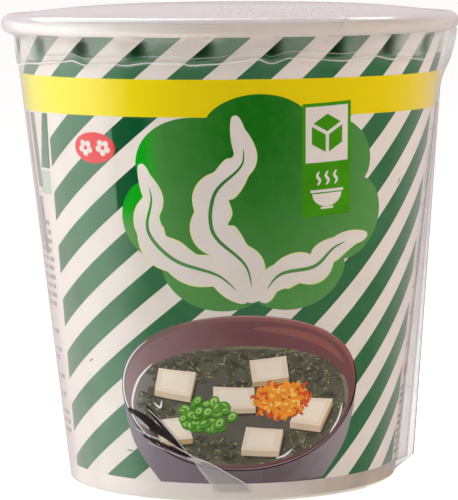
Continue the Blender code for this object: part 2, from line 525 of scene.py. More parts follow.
GRADED_INKS = [
    # name, start, end, colour at the start, colour at the end, variation
    # Painted light: the band's yellow is lighter towards the left, where the light falls.
    ("band_yellow", (-44, 0, 0), (-4, 0, 0), (240, 222, 12), (232, 204, 0), 0.05),
    # Painted shade: the foot darkens towards the right, under the fold of film at the fin.
    ("foot_board", (-2, 0, 0), (36, 0, 0), (230, 216, 210), (168, 152, 138)),
    # Painted light: the bead is lighter towards the left, as a glow of the light there.
    ("bead_board", (-36, 0, 0), (-4, 0, 0), (240, 232, 228), (212, 197, 188)),
    ("bowl_dark", (-24, 0, 16), (16, 0, 4), (140, 126, 136), (112, 96, 100)),
    ("bowl_right", (6, 0, 12), (23, 0, 16), (112, 96, 102), (158, 146, 150)),
    ("bowl_red", (-20, 0, 22), (20, 0, 34), (124, 102, 102), (150, 92, 86)),
    ("bowl_inside", (-20, 0, 30), (6, 0, 34), (142, 112, 114), (122, 78, 82)),
    ("broth", (-24, 0, 22), (-4, 0, 20), (132, 124, 120), (104, 98, 90)),
]
inks = {values[0]: printed(*values) for values in PLAIN_INKS}
inks |= {values[0]: graded(*values) for values in GRADED_INKS}
inks["raw_board"] = raw_board
board = printed("bare_board", (225, 212, 205), 3, roughness=0.45)
inks["bare_board"] = shaded(board, (150, 138, 122), 0.1)
inks["stripe_green"] = pressed(printed("stripe_green", (58, 110, 72)), (2, 78, 40))
# Painted sheen: the field is lighter away from its middle, and faster towards the sides.
field = spread("field_green", (4.0, 78.0), 52.0, 1.5, (20, 112, 12), (96, 150, 82))
inks["field_green"] = pressed(field, (0, 158, 12))
print(len(inks), "inks")

# %% [markdown]
# ## The flat blank
#
# A printer never prints on a cone. The artwork is printed on a flat fan of board, which is
# then rolled up. The lesson does the same. A point of the blank is given by `across` and
# `up`, in millimetres from the middle of the front at the foot. Rolled up, the straight
# lines of the blank become the curved ones that a cone shows. The other way, projecting
# flat art straight on the cone, would stretch it at the sides.

# %% Rolling and unrolling
LEAN = math.atan(TAPER)
APEX_DEPTH = WALL_FOOT_RADIUS / TAPER
FOOT_SLANT = APEX_DEPTH / math.cos(LEAN)


def slant_at(height):
    """How far a height of the wall lies from the cone's apex, along the cone."""
    return (height + APEX_DEPTH) / math.cos(LEAN)


def on_blank(turn, height):
    """Where a point of the wall lies on the blank. The turn is in degrees from the front."""
    fan = math.radians(turn) * math.sin(LEAN)
    return slant_at(height) * math.sin(fan), slant_at(height) * math.cos(fan) - FOOT_SLANT


def off_blank(across, up):
    """The turn in degrees and the height of a point of the blank."""
    slant = math.hypot(across, up + FOOT_SLANT)
    fan = math.atan2(across, up + FOOT_SLANT)
    turn = math.degrees(fan / math.sin(LEAN))
    return turn, slant * math.cos(LEAN) - APEX_DEPTH


def round_the_cup(turn, radius, height):
    """A point in metres. The front faces -Y, and turns run towards +X."""
    angle = math.radians(turn)
    return radius * math.sin(angle) * MM, -radius * math.cos(angle) * MM, height * MM


print(f"the blank is {2 * on_blank(180.0, WALL_TOP)[0]:.0f} mm wide at the top")

# %% [markdown]
# ## Shapes to print
#
# Every printed shape is an outline on the blank. Curve objects could hold the outlines, but
# plain lists of points can be cut straight into the board later. Most are made from three
# rules: an ellipse, a scalloped ellipse, and a brush stroke. A stroke is a smooth line
# through a few points, with a width that swells and tapers, as a loaded brush leaves it.


# %% Round outlines
def ellipse(across, up, wide, high, lean=0.0, count=48):
    points = []
    tilt = math.radians(lean)
    for i in range(count):
        angle = 2 * math.pi * i / count
        x = wide * math.cos(angle)
        y = high * math.sin(angle)
        points.append((
            across + x * math.cos(tilt) - y * math.sin(tilt),
            up + x * math.sin(tilt) + y * math.cos(tilt),
        ))
    return points


def scalloped(across, up, wide, high, lobes, depth, start=0.0, count=14):
    """An ellipse whose edge swells into round lobes."""
    points = []
    for i in range(lobes * count):
        share = i / count
        angle = math.radians(start) + 2 * math.pi * share / lobes
        swell = 1 - depth + depth * abs(math.sin(math.pi * share)) ** 0.7
        points.append((
            across + wide * swell * math.cos(angle),
            up + high * swell * math.sin(angle),
        ))
    return points


print("a scalloped edge has", len(scalloped(0, 0, 1, 1, 9, 0.1)), "points")


# %% Lines and strokes
def mix_points(first, second, share):
    return tuple(a + (b - a) * share for a, b in zip(first, second))


def smooth_line(knots, steps=10):
    """Points on a Catmull-Rom curve through the knots."""
    ends = [knots[0]] + list(knots) + [knots[-1]]
    points = []
    for a, b, c, d in zip(ends, ends[1:], ends[2:], ends[3:]):
        for i in range(steps):
            t = i / steps
            points.append(tuple(
                0.5 * (2 * q + (r - p) * t + (2 * p - 5 * q + 4 * r - s) * t * t
                       + (3 * q - p - 3 * r + s) * t ** 3)
                for p, q, r, s in zip(a, b, c, d)
            ))
    points.append(tuple(knots[-1]))
    return points


def along(line, half_width):
    """A shape along a line. Its half width is a rule of the share of the way and the side."""
    sides = {1: [], -1: []}
    for i, (x, y) in enumerate(line):
        before = line[max(i - 1, 0)]
        after = line[min(i + 1, len(line) - 1)]
        dx = after[0] - before[0]
        dy = after[1] - before[1]
        length = math.hypot(dx, dy) or 1.0
        for side, points in sides.items():
            half = side * half_width(i / (len(line) - 1), side)
            points.append((x - dy / length * half, y + dx / length * half))
    return sides[1] + sides[-1][::-1]


def stroke(knots, width, swell=0.6, tip=0.12, steps=10):
    """The outline of a brush stroke along the knots."""
    def half_width(share, _):
        return 0.5 * width * max(tip, math.sin(math.pi * share) ** swell)

    return along(smooth_line(knots, steps), half_width)


print("a stroke through three knots has", len(stroke([(0, 0), (1, 1), (2, 0)], 1)), "points")


# %% Bars and rings
def bar(across, up, wide, high):
    return [(across, up), (across + wide, up), (across + wide, up + high), (across, up + high)]


def arc_on_blank(start, end, height, pitch=2.0):
    """A level line round the cup between two turns, on the blank."""
    count = max(2, round((end - start) / pitch) + 1)
    return [on_blank(start + (end - start) * i / (count - 1), height) for i in range(count)]


def ring_piece(start, end, low, high, pitch=2.0):
    """The part of the wall between two turns and two heights, on the blank."""
    return arc_on_blank(start, end, low, pitch) + arc_on_blank(start, end, high, pitch)[::-1]


print("a full ring has", len(ring_piece(-180, 180, 0, 1)), "points")

# %% [markdown]
# ## The layout
#
# The artwork is a list of layers, like the colour plates of a printer. Each layer has an
# ink and an outline, and a later layer covers an earlier one. A layer may be kept inside
# another outline, its window, as the stripes are kept inside their field. The stripes are
# straight on the flat blank, so each is four corners, cut off level at two heights.

# %% Stripes and bands
layers = []
windows = {}
BLANK_START = -180.0
BLANK_END = 180.0
PRINT_BOTTOM = 3.69
BAND_BOTTOM = 77.77
BAND_TOP = 85.21
PRINT_TOP = 93.50
FIELD_BOTTOM = (-69.2, 73.0)
FIELD_TOP = (-58.9, 73.0)
STRIPE_SLOPE = math.radians(40.5)
STRIPE_PERIOD = 8.79
STRIPE_PHASE = 0.488
STRIPE_HALF = 0.26
NICKS = [(-50.0, 27.5, 30), (-44.5, 12.8, -25), (-36.0, 9.6, 5), (54.9, 63.7, 52)]


def lay(ink, outline, window=None):
    layers.append((ink, outline, window))


def whole_ring(low, high):
    return ring_piece(BLANK_START, BLANK_END, low, high)


def stripe_corner(offset, slant):
    """Where the slanted line at this offset crosses the arc at this slant."""
    way = math.sqrt(max(0.0, slant * slant - offset * offset))
    across = way * math.cos(STRIPE_SLOPE) - offset * math.sin(STRIPE_SLOPE)
    up = way * math.sin(STRIPE_SLOPE) + offset * math.cos(STRIPE_SLOPE)
    return across, up - FOOT_SLANT


def lay_stripes(window, low, high, first, last):
    low_slant = slant_at(low)
    high_slant = slant_at(high)
    for number in range(first, last):
        middle = (number + STRIPE_PHASE) * STRIPE_PERIOD
        near = middle - STRIPE_HALF * STRIPE_PERIOD
        far = middle + STRIPE_HALF * STRIPE_PERIOD
        corners = [(near, low_slant), (near, high_slant), (far, high_slant), (far, low_slant)]
        lay("stripe_green", [stripe_corner(*corner) for corner in corners], window)


windows["front"] = (
    arc_on_blank(*FIELD_BOTTOM, PRINT_BOTTOM) + arc_on_blank(*FIELD_TOP, BAND_BOTTOM + 1)[::-1]
)
windows["print"] = whole_ring(PRINT_BOTTOM, PRINT_TOP)
windows["top_ring"] = whole_ring(BAND_TOP, PRINT_TOP)
lay_stripes("front", PRINT_BOTTOM - 1, BAND_BOTTOM + 1, 22, 37)
lay_stripes("top_ring", BAND_TOP - 1, PRINT_TOP + 1, 21, 43)
lay("band_yellow", whole_ring(BAND_BOTTOM, BAND_TOP))
for turn, height, lean in NICKS:
    lay("stripe_nick", ellipse(*on_blank(turn, height), 0.8, 0.13, lean, 10))
print(len(layers), "layers of stripes and bands")

# %% [markdown]
# ## The green field, the label and the seal
#
# The front's main sign is a field of strong green with a wavy edge, which is one scalloped
# ellipse. It carries three fronds of seaweed with ruffled edges. A frond's cream outline
# could be a line drawn round it. Here the frond is laid in cream and then, slightly
# thinner, in bare board, because one rule then makes both. A green vein goes on top. An
# upright label with two small pictures and a round seal fill the corners.

# %% Fronds
FIELD = (5.2, 60.4, 28.4, 22.4)
CREAM_EDGE = 0.5
FRONDS = [
    ([(3.0, 41.2), (-2.5, 46.5), (-11.5, 49.5), (-17.0, 55.0), (-16.2, 62.0), (-18.6, 68.4)], 6.6, 5),
    ([(4.2, 41.0), (2.8, 48.5), (-3.6, 55.2), (-3.2, 63.2), (2.4, 69.6), (0.6, 78.6)], 7.6, 6),
    ([(5.6, 41.2), (9.5, 46.4), (17.0, 47.6), (22.0, 51.2), (29.8, 52.6)], 6.2, 4),
]


def frond(knots, width, ruffles):
    """A leaf along the knots, whose two edges are ruffled out of step with each other."""
    def half_width(share, side):
        swell = 0.5 * width * (0.1 + 0.9 * math.sin(math.pi * share ** 0.8) ** 0.7)
        shift = 0.0 if side > 0 else 0.45
        ruffle = 1 + 0.3 * abs(math.sin(math.pi * (ruffles * share + shift))) - 0.2
        return swell * ruffle

    return along(smooth_line(knots, 16), half_width)


lay("field_green", scalloped(*FIELD, 7, 0.15, start=12.0, count=22))
for knots, width, ruffles in FRONDS:
    lay("edge_cream", frond(knots, width + CREAM_EDGE, ruffles))
    lay("bare_board", frond(knots, width, ruffles))
    lay("field_green", stroke(smooth_line(knots, 4)[2:-3], 0.75, 0.5, 0.2, 3))
print(len(layers), "layers with the fronds")

# %% Label and seal
LABEL = (14.3, 57.6, 10.8, 22.8)
SEAL = (-29.6, 70.6)
BLOCK_GAP = 0.12


def lay_block(across, up, size):
    """A block drawn as three faces with bare gaps between them."""
    for turn in (90, 210, 330):
        angle = math.radians(turn)
        x = across + BLOCK_GAP * size * math.cos(angle)
        y = up + BLOCK_GAP * size * math.sin(angle)
        corners = [(x, y)]
        for swing in (-60, 0, 60):
            side = math.radians(turn + swing)
            corners.append((x + size * math.cos(side), y + size * math.sin(side)))
        lay("label_green", corners)


def lay_small_bowl(across, up, wide):
    """A plain bowl with three wisps of steam, as a picture sign draws it."""
    half = []
    for i in range(17):
        angle = math.pi + math.pi * i / 16
        half.append((across + wide * math.cos(angle), up + 0.8 * wide * math.sin(angle)))
    lay("bare_board", half)
    lay("bare_board", bar(across - 1.12 * wide, up + 0.25, 2.24 * wide, 0.55))
    lay("bare_board", bar(across - 0.42 * wide, up - 0.95 * wide, 0.84 * wide, 0.45))
    for number in (-1, 0, 1):
        x = across + 0.58 * wide * number
        wisp = [(x - 0.25, up + 1.7), (x + 0.3, up + 2.6), (x - 0.3, up + 3.6), (x + 0.2, up + 4.5)]
        lay("bare_board", stroke(wisp, 0.62, 0.5))


label_left, label_low, label_wide, label_high = LABEL
label_middle = label_left + 0.5 * label_wide
lay("label_green", bar(*LABEL))
lay("bare_board", bar(label_left + 0.7, label_low + 10.9, label_wide - 1.4, label_high - 11.6))
lay_block(label_middle, label_low + 16.6, 3.5)
lay_small_bowl(label_middle, label_low + 4.6, 3.3)
lay("seal_coral", ellipse(*SEAL, 5.4, 3.15, 6))
for share in (-0.5, 0.5):
    petals = (SEAL[0] + 4.6 * share, SEAL[1] + 0.5 * share)
    lay("bare_board", scalloped(*petals, 1.9, 1.7, 5, 0.42, start=18.0, count=12))
    lay("seal_coral", ellipse(*petals, 0.5, 0.45, count=12))
print(len(layers), "layers with the label and the seal")

# %% [markdown]
# ## The pictured soup
#
# The front shows what is inside, as a picture of a full bowl. A picture this small reads
# by its shapes: dark lacquer, a pool of broth, pale blocks of bean curd with three shades
# each, ruffled dark leaves, cut rings and orange shreds. A painted texture could hold
# softer shades, but cut shapes stay sharp however near the camera comes. Each thing is
# laid by its own small rule, and the loose ones are scattered from a fixed seed.

# %% The bowl and its broth
RIM_OVAL = (1.85, 22.5, 25.75, 16.0)
INSIDE_OVAL = (1.95, 22.2, 24.9, 15.2)
BROTH_OVAL = (2.0, 19.9, 23.4, 12.3)
DEEP_BROTH = (1.6, 19.9, 22.8, 11.7)
BOWL_SIDE = [(-23.9, 22.5), (-23.0, 16.5), (-20.5, 9.8), (-14.3, 2.5)]


def part_of_oval(oval, start, end, grow=0.0, pitch=6.0):
    """Points along an oval, between two angles in degrees from its right end."""
    across, up, wide, high = oval
    count = max(3, round(abs(end - start) / pitch) + 1)
    points = []
    for i in range(count):
        angle = math.radians(start + (end - start) * i / (count - 1))
        points.append((
            across + (wide + grow) * math.cos(angle),
            up + (high + grow) * math.sin(angle),
        ))
    return points


windows["broth"] = ellipse(*BROTH_OVAL, count=90)
windows["inside"] = ellipse(*INSIDE_OVAL, count=100)
left_side = smooth_line(BOWL_SIDE, 6)
windows["bowl"] = left_side + [(2 * RIM_OVAL[0] - x, y) for x, y in reversed(left_side)]
lay("bowl_dark", windows["bowl"], "print")
lay("bowl_right", bar(6.0, PRINT_BOTTOM, 22.0, 22.0), "bowl")
lay("bowl_red", ellipse(*RIM_OVAL, count=100), "print")
lay("bowl_edge", stroke(part_of_oval(RIM_OVAL, 165, 375, -0.2), 0.7, 0.3, 0.2, 2), "print")
lay("bowl_inside", windows["inside"], "print")
lay("bowl_red", stroke(part_of_oval(INSIDE_OVAL, 20, 85, -1.6), 1.6, 0.6, 0.1, 2), "inside")
lay("broth_light", windows["broth"], "inside")
lay("broth", ellipse(*DEEP_BROTH, count=90), "broth")
print(len(layers), "layers with the bowl")

# %% Leaves
chance = random.Random(7)
WEEDS = [
    (2.0, 28.6, 16.5, 3.1, 21), (-11.0, 26.6, 7.5, 3.4, 11), (17.5, 24.5, 7.0, 4.6, 11),
    (19.5, 18.0, 5.2, 4.6, 9), (-15.8, 19.6, 4.8, 3.6, 8), (14.0, 11.8, 9.0, 3.2, 13),
    (-6.5, 11.2, 8.5, 2.9, 13), (3.5, 9.4, 7.5, 1.9, 11), (4.0, 23.0, 8.0, 3.0, 11),
    (-14.0, 13.4, 5.0, 2.4, 7),
]


def scatter(across, up, wide, high):
    """A random place in an ellipse, evenly spread."""
    angle = chance.uniform(0, 2 * math.pi)
    reach = math.sqrt(chance.random())
    return across + reach * wide * math.cos(angle), up + reach * high * math.sin(angle)


def lay_weed(across, up, wide, high, lobes):
    """A mass of ruffled leaf: a dark patch, deeper folds and many bright flecks."""
    lay("seaweed", scalloped(across, up, wide, high, lobes, 0.3, chance.uniform(0, 90), 6), "broth")
    for _ in range(round(wide * high * 0.5)):
        x, y = scatter(across, up, 0.8 * wide, 0.75 * high)
        length = chance.uniform(0.5, 1.3)
        lay("seaweed_deep", ellipse(x, y, length, 0.3, chance.uniform(-50, 50), 9), "broth")
    for _ in range(round(wide * high * 1.5)):
        x, y = scatter(across, up, 0.95 * wide, 0.9 * high)
        ink = "seaweed_light" if chance.random() < 0.8 else "seaweed_pale"
        length = chance.uniform(0.2, 0.65)
        lay(ink, ellipse(x, y, length, 0.14, chance.uniform(0, 180), 7), "broth")


for weed in WEEDS:
    lay_weed(*weed)
print(len(layers), "layers with the leaves")

# %% Bean curd
VIEW_SQUASH = 0.66
TOFU = [
    (-11.5, 24.6, 5.4, 38, 1.2), (7.5, 27.2, 5.0, 52, 1.0), (16.4, 17.6, 5.6, 28, 1.3),
    (-12.2, 14.6, 5.0, 62, 1.1), (0.4, 21.6, 5.4, 44, 1.0), (5.6, 12.8, 5.4, 36, 1.2),
]


def lay_tofu(across, up, size, turn, drop):
    """A block seen from above: a bright top and two sides below it."""
    corners = []
    for number in range(4):
        angle = math.radians(turn + 90 * number + chance.uniform(-7, 7))
        reach = size * chance.uniform(0.92, 1.06)
        corners.append((
            across + reach * math.cos(angle),
            up + reach * VIEW_SQUASH * math.sin(angle),
        ))
    lowest = min(range(4), key=lambda i: corners[i][1])
    lay("seaweed_deep", [(x + 0.5, y - drop - 0.5) for x, y in corners], "broth")
    for neighbour, shade in (((lowest + 1) % 4, "tofu_edge"), ((lowest + 3) % 4, "tofu_side")):
        a = corners[lowest]
        b = corners[neighbour]
        lay(shade, [a, b, (b[0], b[1] - drop), (a[0], a[1] - drop)], "broth")
    lay("tofu_top", corners, "broth")
    centre = (across - 0.3, up + 0.2)
    lay("tofu_light", [mix_points(centre, corner, 0.72) for corner in corners], "broth")


for tofu in TOFU:
    lay_tofu(*tofu)
print(len(layers), "layers with the bean curd")

# %% Rings and shreds
ONIONS = (-5.6, 18.2, 5.6, 3.4)
SHREDS = (10.2, 20.6, 5.8, 3.7)
SHRED_ROUNDS = [
    # ink, how many, how far they reach
    ("carrot_dark", 40, 1.1), ("carrot", 90, 1.0), ("carrot_dark", 24, 1.0),
    ("carrot_pale", 34, 0.7), ("carrot", 30, 0.8),
]


def lay_ring(across, up, size, lean):
    """A cut ring of green onion, seen at a slant."""
    lay("onion_deep", ellipse(across + 0.1, up - 0.25, size, size * 0.7, lean, 18), "broth")
    lay("onion_green", ellipse(across, up, size, size * 0.7, lean, 18), "broth")
    if chance.random() < 0.7:
        lay("onion_pale", ellipse(across, up + 0.1, size * 0.66, size * 0.42, lean, 14), "broth")
        lay("onion_green", ellipse(across, up, size * 0.3, size * 0.18, lean, 9), "broth")
    else:
        lay("onion_pale", ellipse(across - 0.2, up + 0.2, size * 0.5, size * 0.16, lean, 10), "broth")


def lay_shred(across, up, length, lean, ink):
    knots = []
    for share in (-0.5, 0.0, 0.5):
        bend = 0.16 * length * math.cos(math.pi * share)
        knots.append((
            across + share * length * math.cos(lean) - bend * math.sin(lean),
            up + share * length * math.sin(lean) + bend * math.cos(lean),
        ))
    lay(ink, stroke(knots, 0.6, 0.4, 0.5, 4), "broth")


for _ in range(34):
    lay_ring(*scatter(*ONIONS), chance.uniform(0.9, 1.5), chance.uniform(-40, 60))
lay("carrot_dark", scalloped(*SHREDS, 13, 0.22), "broth")
for ink, count, reach in SHRED_ROUNDS:
    for _ in range(count):
        across, up = scatter(SHREDS[0], SHREDS[1], SHREDS[2] * reach, SHREDS[3] * reach)
        lay_shred(across, up, chance.uniform(1.0, 2.3), chance.uniform(0, math.pi), ink)
print(len(layers), "layers with the soup")

# %% [markdown]
# ## Light on the bowl
#
# Lacquer and broth show where the light stood by thin bright marks. Gloss in the finish
# couldn't give them, because it would follow the cone of the wall and not the pictured
# bowl. So they are brush strokes, most of them along the bowl's ovals, and they make flat
# shapes read as round ones. The plain foot of the wall comes last, because it covers
# whatever reaches below the print.
# The foot's board is darker towards the right by painted shade.

# %% Bright marks
WATER_MARKS = [
    ([(-20.8, 15.6), (-21.4, 19.5), (-19.8, 24.2), (-16.6, 27.8)], 0.5),
    ([(20.6, 12.4), (22.8, 15.2), (23.8, 18.4)], 0.5),
    ([(8.6, 8.6), (10.6, 9.2), (12.2, 10.4)], 0.45),
    ([(-9.4, 9.0), (-7.6, 8.4), (-5.8, 8.3)], 0.4),
    ([(-16.4, 19.8), (-15.0, 18.9), (-14.6, 20.4)], 0.45),
]
RIM_MARKS = [
    # ink, start, end, how far inside the rim, width
    ("shine", 140, 228, -0.35, 0.32),
    ("bowl_light", 228, 340, -0.25, 0.24),
    ("bowl_light", 30, 120, -0.2, 0.24),
]
for knots, width in WATER_MARKS:
    lay("shine", stroke(knots, width, 0.6), "inside")
for ink, start, end, grow, width in RIM_MARKS:
    lay(ink, stroke(part_of_oval(RIM_OVAL, start, end, grow), width, 0.5, 0.2, 2), "print")
lay("foot_board", whole_ring(WALL_BOTTOM - 1, PRINT_BOTTOM))
print(len(layers), "layers with the bright marks")

# %% [markdown]
# ## Rows and tables
#
# The sides and the back carry fine grey rows, with a ruled table and three round pictures
# among them. Each row is a line of plain bars of uneven length. A texture of noise could
# suggest them, but bars that are rings between two heights stay level all round the cone.

# %% Rules for rows and tables
BAR_WIDTHS = (2.4, 8.5)
BAR_GAP = 1.3
SHARE_OF_SHORT_ROWS = 0.3
SHORTER_BY = (5, 22)


def lay_rows(start, end, low, high, pitch, ink="small_print"):
    """Rows of short bars between two turns and two heights."""
    for row in range(int((high - low) / pitch)):
        base = high - pitch * (row + 1)
        turn = start
        last = end - (chance.uniform(*SHORTER_BY) if chance.random() < SHARE_OF_SHORT_ROWS else 0)
        while turn < last - 2:
            wide = min(chance.uniform(*BAR_WIDTHS), last - turn)
            lay(ink, ring_piece(turn, turn + wide, base, base + 0.5 * pitch, 4.0))
            turn += wide + BAR_GAP


def lay_frame(start, end, low, high, line):
    """A frame with equally wide lines on all four sides."""
    sides = line / (math.radians(1.0) * wall_radius(low))
    lay("small_print", ring_piece(start, end, low, high))
    lay("bare_board", ring_piece(start + sides, end - sides, low + line, high - line))


def lay_round_picture(turn, height, drops):
    """A ring round a small cup, with some yellow drops on it."""
    across, up = on_blank(turn, height)
    lay("stripe_green", ellipse(across, up, 6.4, 6.4))
    lay("bare_board", ellipse(across, up, 5.8, 5.8))
    lay("stripe_green", [(across - 2.6, up + 2.2), (across + 2.6, up + 2.2),
                         (across + 1.9, up - 3.2), (across - 1.9, up - 3.2)])
    for drop in range(drops):
        lay("band_yellow", ellipse(across - 0.9 + 1.8 * drop, up - 0.4, 0.6, 0.9, count=16))


print("three rules: rows, a frame and a round picture")

# %% The left side and the back
CORNER_GREEN = [(-59.6, 77.6), (-63.0, 77.6), (-68.1, 66.2), (-61.7, 66.2)]
CORNER_PALE = [(-61.9, 65.7), (-68.3, 65.7), (-70.2, 60.8), (-62.7, 60.8)]
UPRIGHT_BARS = [(-73.0, -69.0, 62.0, 77.4), (-79.0, -75.5, 50.0, 77.4), (-74.5, -71.0, 48.0, 60.0)]

lay("stripe_green", [on_blank(*corner) for corner in CORNER_GREEN])
lay("panel_pale", [on_blank(*corner) for corner in CORNER_PALE])
for upright in UPRIGHT_BARS:
    lay("panel_grey", ring_piece(*upright, 1.0))
lay_rows(-170.0, -66.8, 36.0, 58.0, 1.9)
lay_rows(-170.0, -70.6, 7.0, 35.0, 1.9)
for drops, turn in enumerate((-88.0, -112.0, -136.0)):
    lay_round_picture(turn, 68.0, drops)
print(len(layers), "layers with the left side")

# %% The right side
TABLE = (89.0, 133.0, 12.0, 58.0)
TABLE_ROWS = 12
GREY_LINES = (28.0, 34.5, 40.0, 54.0, 57.5, 73.0)

table_start, table_end, table_low, table_high = TABLE
lay_frame(*TABLE, 0.4)
for row in range(1, TABLE_ROWS):
    height = table_low + (table_high - table_low) * row / TABLE_ROWS
    lay("small_print", ring_piece(table_start + 0.5, table_end - 0.5, height, height + 0.22))
for column in (91.0, 114.0):
    lay_rows(column, column + 16.0, 13.0, 58.0, 3.83)
lay("seal_coral", ellipse(*on_blank(80.0, 22.6), 2.2, 1.5))
lay("panel_pale", ring_piece(75.0, 82.0, 60.0, 70.0, 1.0))
lay("panel_pale", ring_piece(76.0, 83.0, 44.0, 51.0, 1.0))
for height in GREY_LINES:
    lay("panel_grey", ring_piece(74.5, 84.0, height, height + 0.3, 1.0))
lay_rows(74.5, 86.0, 5.0, 20.0, 1.5, "panel_grey")
lay_rows(139.0, 172.0, 10.0, 58.0, 2.5)
lay_rows(96.0, 172.0, 62.0, 72.0, 3.0, "stripe_green")
print(len(layers), "layers in all")

# %% [markdown]
# ## Cutting the blank
#
# The layers could be painted by a node tree, and the edges would then be as sharp as the
# texture that holds them. Cutting them into the mesh keeps each edge exact at any size.
# Blender's constrained triangulation takes all outlines at once and tells, for each small
# triangle, which outlines it lies in. The top layer among them gives its ink. Straight
# lines up the wall, every two degrees, are cut in too, so that the sheet can bend there.

# %% Cutting
LAP_TURN = 7.0
SHEET_START = BLANK_START - LAP_TURN
COLUMN_STEP = 2.0
CUT_TOLERANCE = 0.0001
INSIDE_AND_KEPT = 0


def signed_area(outline):
    following = outline[1:] + outline[:1]
    return 0.5 * sum(a[0] * b[1] - b[0] * a[1] for a, b in zip(outline, following))


def top_ink(holders, order, window_faces):
    """The ink of the top layer among the outlines that hold a triangle."""
    top = -1
    for holder in holders:
        number = order.get(holder, -1)
        window = layers[number][2] if number >= 0 else None
        if number > top and (window is None or window_faces[window] in holders):
            top = number
    return layers[top][0] if top >= 0 else "bare_board"


def cut_blank():
    """Returns the blank's points, its triangles, and the ink of each triangle."""
    points = []
    faces = []
    edges = []

    def add_outline(outline):
        start = len(points)
        if signed_area(outline) < 0:
            outline = outline[::-1]
        points.extend(Vector(point) for point in outline)
        faces.append(list(range(start, len(points))))
        return len(faces) - 1

    sheet = add_outline(ring_piece(SHEET_START, BLANK_END, WALL_BOTTOM, WALL_TOP, COLUMN_STEP))
    window_faces = {name: add_outline(outline) for name, outline in windows.items()}
    order = {add_outline(layer[1]): number for number, layer in enumerate(layers)}
    columns = round((BLANK_END - SHEET_START) / COLUMN_STEP)
    for column in range(1, columns):
        turn = SHEET_START + (BLANK_END - SHEET_START) * column / columns
        edges.append((len(points), len(points) + 1))
        points.append(Vector(on_blank(turn, WALL_BOTTOM)))
        points.append(Vector(on_blank(turn, WALL_TOP)))
    cut = delaunay_2d_cdt(points, edges, faces, INSIDE_AND_KEPT, CUT_TOLERANCE, True)
    kept = [(face, holders) for face, holders in zip(cut[2], cut[5]) if sheet in holders]
    shown = [top_ink(holders, order, window_faces) for _, holders in kept]
    return cut[0], [face for face, _ in kept], shown


blank_points, blank_faces, face_inks = cut_blank()
print(len(blank_faces), "triangles in the printed blank")

# %% [markdown]
# ## Rolling the wall
#
# The cut blank is now rolled: each flat point goes to its turn and height. The sheet's
# start runs under its end at the back, which gives the glued lap seam of a paper cup. A
# Solidify modifier gives the board its thickness, with raw board inside. The normals are
# then set from the cone itself, because a triangle mesh with many thin faces would
# otherwise catch the light unevenly.


# %% Helpers for pieces
def mix(first, second, share):
    return first + (second - first) * share


def eased(share):
    """A share from 0 to 1 that starts and ends gently."""
    share = min(1.0, max(0.0, share))
    return share * share * (3 - 2 * share)


def place_piece(piece, slot, *nodes):
    """Every piece rides on the one body, and stands for the solids that are named."""
    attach(piece, "root")
    if nodes:
        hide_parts(*nodes)
    return piece


def apply_modifiers(piece):
    bpy.context.view_layer.update()
    graph = bpy.context.evaluated_depsgraph_get()
    shaped = bpy.data.meshes.new_from_object(piece.evaluated_get(graph))
    piece.modifiers.clear()
    piece.data = shaped
    return shaped


def thicken(piece, thickness, offset, material_offset=0):
    """Gives a sheet its thickness in mm, with other inks on its inside by an offset."""
    solid = piece.modifiers.new("Board", "SOLIDIFY")
    solid.thickness = thickness * MM
    solid.offset = offset
    solid.material_offset = material_offset
    solid.material_offset_rim = material_offset
    return apply_modifiers(piece)


print("halfway, an eased share is", eased(0.5))

# %% The printed wall
LAP_BLEND = 9.0
ALONG_THE_CONE = 0.7


def cone_normals(mesh):
    """Sets each corner's normal from the cone, on the faces that lie along it."""
    mesh.shade_smooth()
    normals = []
    for face in mesh.polygons:
        for index in face.vertices:
            place = mesh.vertices[index].co
            outward = Vector((place.x, place.y, 0.0)).normalized()
            outward = (outward - Vector((0.0, 0.0, TAPER))).normalized()
            facing = face.normal.dot(outward)
            if abs(facing) < ALONG_THE_CONE:
                normals.append(face.normal.copy())
            else:
                normals.append(outward * math.copysign(1.0, facing))
    mesh.normals_split_custom_set(normals)


def rolled(across, up):
    """A point of the blank on the wall. The sheet's start steps in to pass under its end."""
    turn, height = off_blank(across, up)
    inset = PAPER * eased((BLANK_START + LAP_BLEND - turn) / LAP_BLEND)
    return round_the_cup(turn, wall_radius(height) - inset, height)


def roll_wall():
    mesh = bpy.data.meshes.new("cup_wall")
    used = sorted({index for face in blank_faces for index in face})
    new_index = {index: number for number, index in enumerate(used)}
    faces = [[new_index[index] for index in face] for face in blank_faces]
    mesh.from_pydata([rolled(*blank_points[index]) for index in used], [], faces)
    shown = sorted(set(face_inks))
    for ink in shown + ["raw_board"]:
        mesh.materials.append(inks[ink])
    mesh.polygons.foreach_set("material_index", [shown.index(ink) for ink in face_inks])
    wall = add_object("cup_wall", mesh)
    cone_normals(thicken(wall, PAPER, -1.0, len(shown)))
    return wall


cup_wall = place_piece(roll_wall(), "printed_paper", "cup_body")
print(f"wall: {len(cup_wall.data.polygons)} faces, {len(cup_wall.data.materials)} inks")

# %% [markdown]
# ## The bead, the foot and the base
#
# The top of the sheet is curled outwards into a bead that stiffens the cup and carries the
# lid. At the foot it is folded in, round the turned-down skirt of the base disc, so the
# cup stands on a double edge with the disc a few millimetres up. These are turned shapes,
# so a Screw modifier spins a profile round the upright axis. A torus would do for a plain
# bead, but this one swells where the lid's edge ends, so that the two meet flush.

# %% Turning a profile
TURN_STEPS = 180
MERGE_DISTANCE = 0.002
SHARP_ANGLE = math.radians(38)


def arc(centre, radius, start, end, count):
    """Points on an arc. Its angles are in degrees from straight up, turning outwards."""
    points = []
    for i in range(count):
        angle = math.radians(start + (end - start) * i / (count - 1))
        points.append((
            centre[0] + radius * math.sin(angle),
            centre[1] + radius * math.cos(angle),
        ))
    return points


